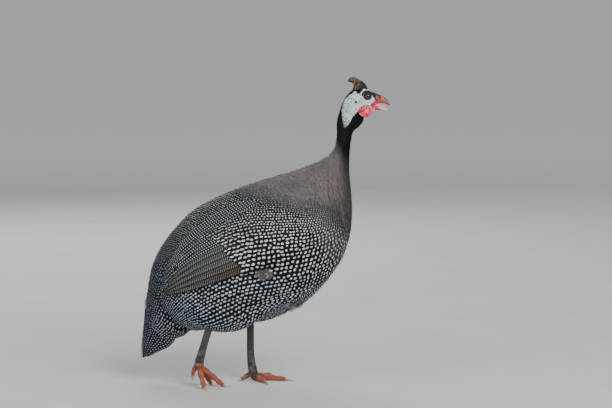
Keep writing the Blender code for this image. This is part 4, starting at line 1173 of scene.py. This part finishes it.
def redFleshMaterial():
    # red with deeper folds, and painted highlight: pinker in front, with pale glinting flecks
    finish, c = Finish("wattleFlesh"), wattleColours
    fold = noise(scaled(finish.place, 1.0, 1.0, 0.5), 420.0, 3.0, 0.6)
    fine = noise(finish.place, 1900.0)
    # pink towards the front and where the folds rise: painted highlight
    highlightShare = soften(split(finish.place)[0], 0.146, 0.16) * 0.35 + fold
    shade = mix(soften(fold, 0.36, 0.6), c["deep"], c["red"])
    shade = mix(soften(highlightShare, 0.66, 1.0), shade, c["pink"])
    # pale flecks where the fine and fold noises peak: painted glints
    shade = mix(soften(fine + fold, 1.12, 1.28), shade, c["highlightFleck"])
    return finish.done(shade, 0.42, (fold + fine * 0.5, 0.0006, 0.8), depth=0.15, depthRadius=(0.004, 0.0012, 0.0008))


def makeWattles():
    # the side view is level above and round below, and each level is an ellipse across, bent to stand off the cheek
    f, flesh = wattleForm, redFleshMaterial()
    start, span, out, slope, bend = f["cheek"]
    down, a = crossed(0.5 - 0.5 * np.cos(np.linspace(0.05, math.pi - 0.05, 60)), circle(80))
    below = np.clip((down - f["full"]) / (1.0 - f["full"]), 0, 1)
    reach = np.sqrt(np.where(down < f["full"], ease(down, -0.06, f["full"]), 1 - below**2 * 0.995))
    x = f["length"] * reach * np.cos(a) - 0.0012 * down
    z = f["height"] * (1 - 2 * down)
    lump = 1 + 0.1 * np.sin(x * 700 + z * 300) * np.sin(z * 620 - x * 260)
    y = f["thick"] * np.sqrt(np.clip(1 - (2 * down - 1) ** 2, 0, 1)) ** 0.7 * np.sin(a)
    wave = 0.0005 * np.sin(x * 420 + 1.0) * down
    share = np.clip((x + f["x"] - start) / span, -0.2, 1.1)
    away = out - slope * share - bend * share**3 + f["flare"] * down + wave
    for name, side in (("left", 1), ("right", -1)):
        bulge = y * (0.8 + 0.7 * down) * lump
        points = np.stack([x + f["x"], side * (bulge + away), z + 0.04 * x + f["z"]], -1)
        makePiece(f"wattle_flesh_{name}", points, flesh, "red_skin", f"wattle_{name}")


makeWattles()

eyeColours = dict(
    pupil=(0.002, 0.002, 0.002), iris=(0.022, 0.009, 0.005), paleIris=(0.06, 0.026, 0.014), rim=(0.02, 0.016, 0.014))


def eyeMaterial():
    # pupil, streaked iris and dark rim by the distance from the eye's axis
    finish, c = Finish("eyeball"), eyeColours
    far = finish.read("far")
    iris = mix(noise(finish.place, 2600.0), c["iris"], c["paleIris"])
    shade = mix(soften(far, 0.0022, 0.0025), c["pupil"], iris)
    shade = mix(soften(far, 0.0038, 0.0044), shade, c["rim"])
    return finish.done(shade, 0.06, coat=0.6, coatRoughness=0.03)


def makeEyes():
    # a ball, and a lid as a ring round it: its line is an oval flattened above and below, its tube is ribbed
    e, ball = eyeSpot, eyeMaterial()
    lidSkin = plainMaterial("lidSkin", (0.005, 0.005, 0.008), (0.035, 0.035, 0.042), 1500.0, 0.45, (0.0004, 0.8))
    for name, side in (("left", 1), ("right", -1)):
        t, a = crossed(np.linspace(0.03, math.pi - 0.03, 60), circle(72))
        across, up, out = e["radius"] * np.array([np.sin(t) * np.cos(a), np.sin(t) * np.sin(a), np.cos(t)])
        points = np.stack([e["x"] + across, side * (e["y"] + out), e["z"] + up], -1)
        makePiece(f"eyeball_{name}", points, ball, "eye", f"eye_{name}",
                  layers={"far": np.hypot(across, up) + 0.01 * (out < 0)})
        around, tube = crossed(circle(96), circle(20))
        ring = e["lid"] * (1 - 0.16 * np.abs(np.sin(around)) ** 1.5)
        ring = ring + np.cos(tube) * (0.001 + 0.00012 * np.sin(around * 17))
        out = e["y"] + e["lidOut"] + 0.0011 * np.sin(tube) + 0.0004 * np.sin(around)
        points = np.stack([e["x"] + ring * e["oval"] * np.cos(around), side * out, e["z"] + ring * np.sin(around)], -1)
        makePiece(f"eyelid_{name}", points, lidSkin, "white_skin", form="ring")


makeEyes()
print("head done")

shankLines = dict(
    left=np.array([(-24, 13, 98), (-23.8, 11.5, 69), (-23.5, 9, 39), (-20.8, 6.5, 16)]) / 1000,
    right=np.array([(-80.5, -43, 98), (-86.6, -45, 79), (-93, -47.5, 57), (-98.5, -50, 37)]) / 1000)
shankDepth = np.array([(5.6,), (5.3,), (5.5,), (6.8,)]) / 1000
toeLines = dict(  # each toe's joints (x, y, z, radius) and its claw's tip (x, y, z), in millimetres
    left=dict(
        middle=((-18, 6.3, 5.8, 5.4), (-4, 4.3, 4.2, 4.6), (10, 1.5, 3.8, 4.2), (21.5, -0.8, 3.4, 3.8),
                (30, -2.5, 2.4, 2.9), (42.5, -4.8, 0.6)),
        inner=((-18, 6.3, 5.8, 5), (-10, -7, 3.9, 4.3), (-3, -19, 3.2, 3.6), (0, -25, 2.4, 2.8), (4.5, -35, 0.6)),
        outer=((-18.2, 6.5, 5.8, 4.9), (-7, 18, 3.9, 4.3), (2, 28, 3.2, 3.6), (6, 33.5, 2.4, 2.8), (12, 42, 0.6)),
        hind=((-20.5, 6, 11, 4.2), (-30, 1.5, 6.6, 3.4), (-37, -2, 2.2, 2.6), (-45, -6, 0.6))),
    right=dict(
        middle=((-98.5, -50, 31, 5.2), (-88, -50, 23.5, 4.4), (-77.5, -50, 15, 4.1), (-68.5, -50, 7.5, 3.7),
                (-62.5, -50, 2.4, 2.9), (-50, -50, 0.6)),
        inner=((-98.5, -50, 31, 4.8), (-91, -42.5, 19, 4.2), (-85, -37, 8.5, 3.6), (-82, -34.5, 2.4, 2.8),
                (-72.5, -30, 0.6)),
        outer=((-98.5, -50, 31, 4.8), (-95, -58, 19, 4.2), (-92, -64.5, 8.5, 3.6), (-90.5, -68, 2.4, 2.8),
                (-85, -77, 0.6)),
        hind=((-100.5, -49.5, 35, 4), (-106.5, -47, 25, 3.3), (-108.5, -45.5, 17, 2.5), (-109, -44, 8))))
legForm = dict(steps=80, sides=32, floorGap=0.0002, ankleDepth=((0.0066,), (0.0074,), (0.007,), (0.005,)),
               dusk=dict(left=(0.9, 0.008, 0.019), right=(0.6, 0.003, 0.012)))


def scaleMaterial(name, dark, light, rough):
    # skin in small cells with dark seams where plate is 1, a dark line where it is 0, and slate where dusk is 1
    finish = Finish(name)
    cells = pattern("TexVoronoi", finish.place, "Distance", "DISTANCE_TO_EDGE", Scale=620.0)
    dirt = noise(finish.place, 160.0, 4.0, 0.6)
    fine = noise(finish.place, 1400.0)
    seam = soften(cells, 0.0, 0.14) * finish.read("plate")
    shade = mix(fine * 0.5 + dirt * 0.9 - 0.2, dark, light)
    shade = mix(0.55 - seam * 0.55, shade, tuple(0.35 * value for value in dark))
    slate = mix(soften(dirt, 0.42, 0.66), (0.024, 0.023, 0.028), (0.15, 0.145, 0.165))
    shade = mix(finish.read("dusk"), shade, slate)
    return finish.done(shade, fine * 0.25 + rough, (seam + fine * 0.3, 0.0004, 0.8))


def platesAt(at, rate, gap, share):
    # 1 on the skin, and on the share that has big plates 0 at their seams and 1 between them
    place = at * rate % 1
    return np.clip(1 - share + ease(np.minimum(place, 1 - place), 0.0, gap) * share, 0, 1)


def tubeRings(middle, depth, width, sides):
    # rings round a line: depth * cos fore and aft, width * sin across
    ahead = unit(np.gradient(middle, axis=0))
    across = unit(np.cross(ahead, np.where(np.abs(ahead[:, 2:3]) > 0.75, [[1.0, 0, 0]], [[0, 0, 1.0]])))
    c, s = (values[None, :, None] for values in (np.cos(circle(sides)), np.sin(circle(sides))))
    ring = np.cross(across, ahead)[:, None] * c * depth[:, None, None]
    return middle[:, None] + ring + across[:, None] * s * width[:, None, None]


def makeShank(side, skin):
    # a tube down the shank's line, with overlapping plates in front and low ribs behind
    at = np.linspace(0, 3, 150)[:, None]
    middle, depth = spline(shankLines[side], at[:, 0]), spline(shankDepth, at[:, 0])[:, 0]
    rings = tubeRings(middle, depth, depth * 0.86, 40)
    away = rings - middle[:, None]
    forward = np.clip(away[..., 0] / depth[:, None], -1, 1)
    lift = 0.00035 * (1 - at * 5 % 1) ** 0.5 * ease(forward, 0.35, 0.75)
    lift = lift + 0.0002 * np.abs(np.sin(at * 22)) * ease(-forward, 0.5, 0.9)
    makePiece(f"shank_scales_{side}", rings + unit(away) * lift[..., None], skin, "shank", f"shank_{side}",
              layers={"plate": platesAt(at, 5, 0.12, ease(forward, 0.3, 0.6)),
                      "dusk": 0.8 * ease(at, 1.2, 3.0) + 0 * forward})


def makeClaw(name, toe, tip, material, cadNode):
    # a tapering tube on a bent line: (1 - t)^2 root + 2t(1 - t) bend + t^2 tip
    root = toe[-1][:3]
    size = toe[-1][3] * 0.8
    bend = root + unit(root - toe[-2][:3]) * 0.45 * np.linalg.norm(tip - root)
    t = np.linspace(-0.1, 1, 40)[:, None]
    radius = size + (0.00045 - size) * np.clip(t[:, 0], 0, 1) ** 1.2
    rings = tubeRings((1 - t) ** 2 * root + 2 * t * (1 - t) * bend + t**2 * tip, radius, radius * 0.8, 28)
    rings[..., 2] = np.maximum(rings[..., 2], legForm["floorGap"])
    makePiece(name, rings, material, "claw", cadNode)


def makeFoot(side, skin, hornSkin):
    # a tube for each toe, swollen at its joints, with plates above and pads below, and one for the ankle
    f, parts, plates = legForm, [], []
    for name, line in toeLines[side].items():
        toe, tip, last = np.array(line[:-1]) / 1000, np.array(line[-1]) / 1000, len(line) - 2
        at = np.linspace(0, last, f["steps"])
        smooth = spline(toe, at)
        radius = smooth[:, 3] * (1 + 0.1 * np.cos(2 * math.pi * at)) * (1 - 0.35 * ease(at, last - 0.12, last))
        rings = tubeRings(smooth[:, :3], radius, radius * 0.95, f["sides"])
        away = (rings - smooth[:, None, :3]) / radius[:, None, None]
        up, place = away[..., 2], at[:, None]
        lift = 0.0003 * (1 - place * 4 % 1) * ease(up, 0.2, 0.7)
        lift = lift + 0.0003 * np.abs(np.sin(place * math.pi * 3)) * ease(-up, 0.3, 0.8)
        parts.append(rings + away * lift[..., None])
        plates.append(platesAt(place, 4, 0.14, ease(up, 0.1, 0.5)))
        makeClaw(f"claw_horn_{side}_{name}", toe, tip, hornSkin, f"claw_{side}_{name}")
    ankle = spline(shankLines[side], np.linspace(0, 3, 20))
    down, end = unit(ankle[-1] - ankle[-2]), ankle[-1]
    below, top = np.array(toeLines[side]["middle"][0][:3]) / 1000, end + down * 0.0001
    at = np.linspace(0, 3, f["steps"])
    depth = spline(f["ankleDepth"], at)[:, 0]
    middle = spline([top, (top + below) / 2, below, below + down * 0.003], at)
    parts.append(tubeRings(middle, depth, depth * 0.9, f["sides"]))
    plates.append(np.ones(parts[-1].shape[:2]))
    points = np.array(parts)
    points[..., 2] = np.maximum(points[..., 2], f["floorGap"])
    reach = np.minimum(np.linalg.norm(points - below, axis=-1), np.linalg.norm(points - end, axis=-1) - 0.0005)
    share, near, far = f["dusk"][side]
    makePiece(f"foot_scales_{side}", points, skin, "toes", f"foot_{side}",
              layers={"plate": np.array(plates), "dusk": share * (1 - ease(reach, near, far))})


shankSkin = scaleMaterial("shankScales", (0.016, 0.013, 0.014), (0.135, 0.115, 0.108), 0.42)
toeSkin = scaleMaterial("toeScales", (0.28, 0.055, 0.026), (0.62, 0.21, 0.115), 0.5)
clawSkin = plainMaterial("clawHorn", (0.24, 0.17, 0.12), (0.62, 0.52, 0.42), 900.0, 0.4, (0.0003, 0.5))
for sideName in ("left", "right"):
    makeShank(sideName, shankSkin)
    makeFoot(sideName, toeSkin, clawSkin)
print("legs done")

studio = dict(
    sky=(0.8, 0.82, 0.85), skyStrength=0.5, floorReach=60.0, glowFrom=(1.2, 6.0), glowShare=0.36,
    cameraAt=(0.0611, -2.6, 0.5046), cameraDown=5.155, lens=1729 / 612 * 36,
    lights=(  # name, place, aim, size, power, colour
        ("keyLight", (1.4, -2.0, 2.2), (0.0, 0.0, 0.22), 1.6, 74, (1.0, 0.97, 0.93)),
        ("fillLight", (-2.2, -1.6, 1.3), (0.0, 0.0, 0.2), 2.0, 22, (0.9, 0.95, 1.0)),
        ("rimLight", (-0.6, 2.2, 1.8), (0.0, 0.0, 0.25), 1.6, 34, (1.0, 1.0, 1.0))))


def makeFloor():
    # far off it glows as brightly as the sky, so no horizon shows
    r, mesh, finish = studio["floorReach"], bpy.data.meshes.new("floor"), Finish("paleFloor")
    mesh.from_pydata([(-r, -r, 0), (r, -r, 0), (r, r, 0), (-r, r, 0)], [], [(0, 1, 2, 3)])
    away = Value(addNode(finish.tree, "VectorMath", finish.place, operation="LENGTH").outputs["Value"])
    glow = soften(away, *studio["glowFrom"]) * (studio["skyStrength"] * studio["glowShare"])
    shade = mix(noise(finish.place, 9.0, 4.0), (0.6, 0.6, 0.59), (0.68, 0.68, 0.67))
    mesh.materials.append(finish.done(shade, 0.9, shine=0.1, glow=studio["sky"], glowStrength=glow))
    linked("floor", mesh)


def addLight(name, place, aim, size, power, colour):
    # a square lamp turned to its aim
    light = bpy.data.lights.new(name, "AREA")
    light.size, light.energy, light.color = size, power, colour
    made = linked(name, light)
    made.location = place
    x, y, z = np.array(aim) - np.array(place)
    made.rotation_euler = (math.acos(-z / math.hypot(x, y, z)), 0, math.atan2(y, x) - math.pi / 2)


def makeStage():
    # floor, lamps, sky and a camera at the photo's view
    makeFloor()
    for light in studio["lights"]:
        addLight(*light)
    world = bpy.data.worlds.new("studio")
    world.use_nodes = True
    background = world.node_tree.nodes["Background"]
    fill(background.inputs["Color"], studio["sky"])
    fill(background.inputs["Strength"], studio["skyStrength"])
    bpy.context.scene.world = world
    camera = linked("camera", bpy.data.cameras.new("camera"))
    camera.location = studio["cameraAt"]
    camera.rotation_euler = (math.radians(90 - studio["cameraDown"]), 0, 0)
    camera.data.lens, camera.data.sensor_width = studio["lens"], 36
    bpy.context.scene.camera = camera


makeStage()
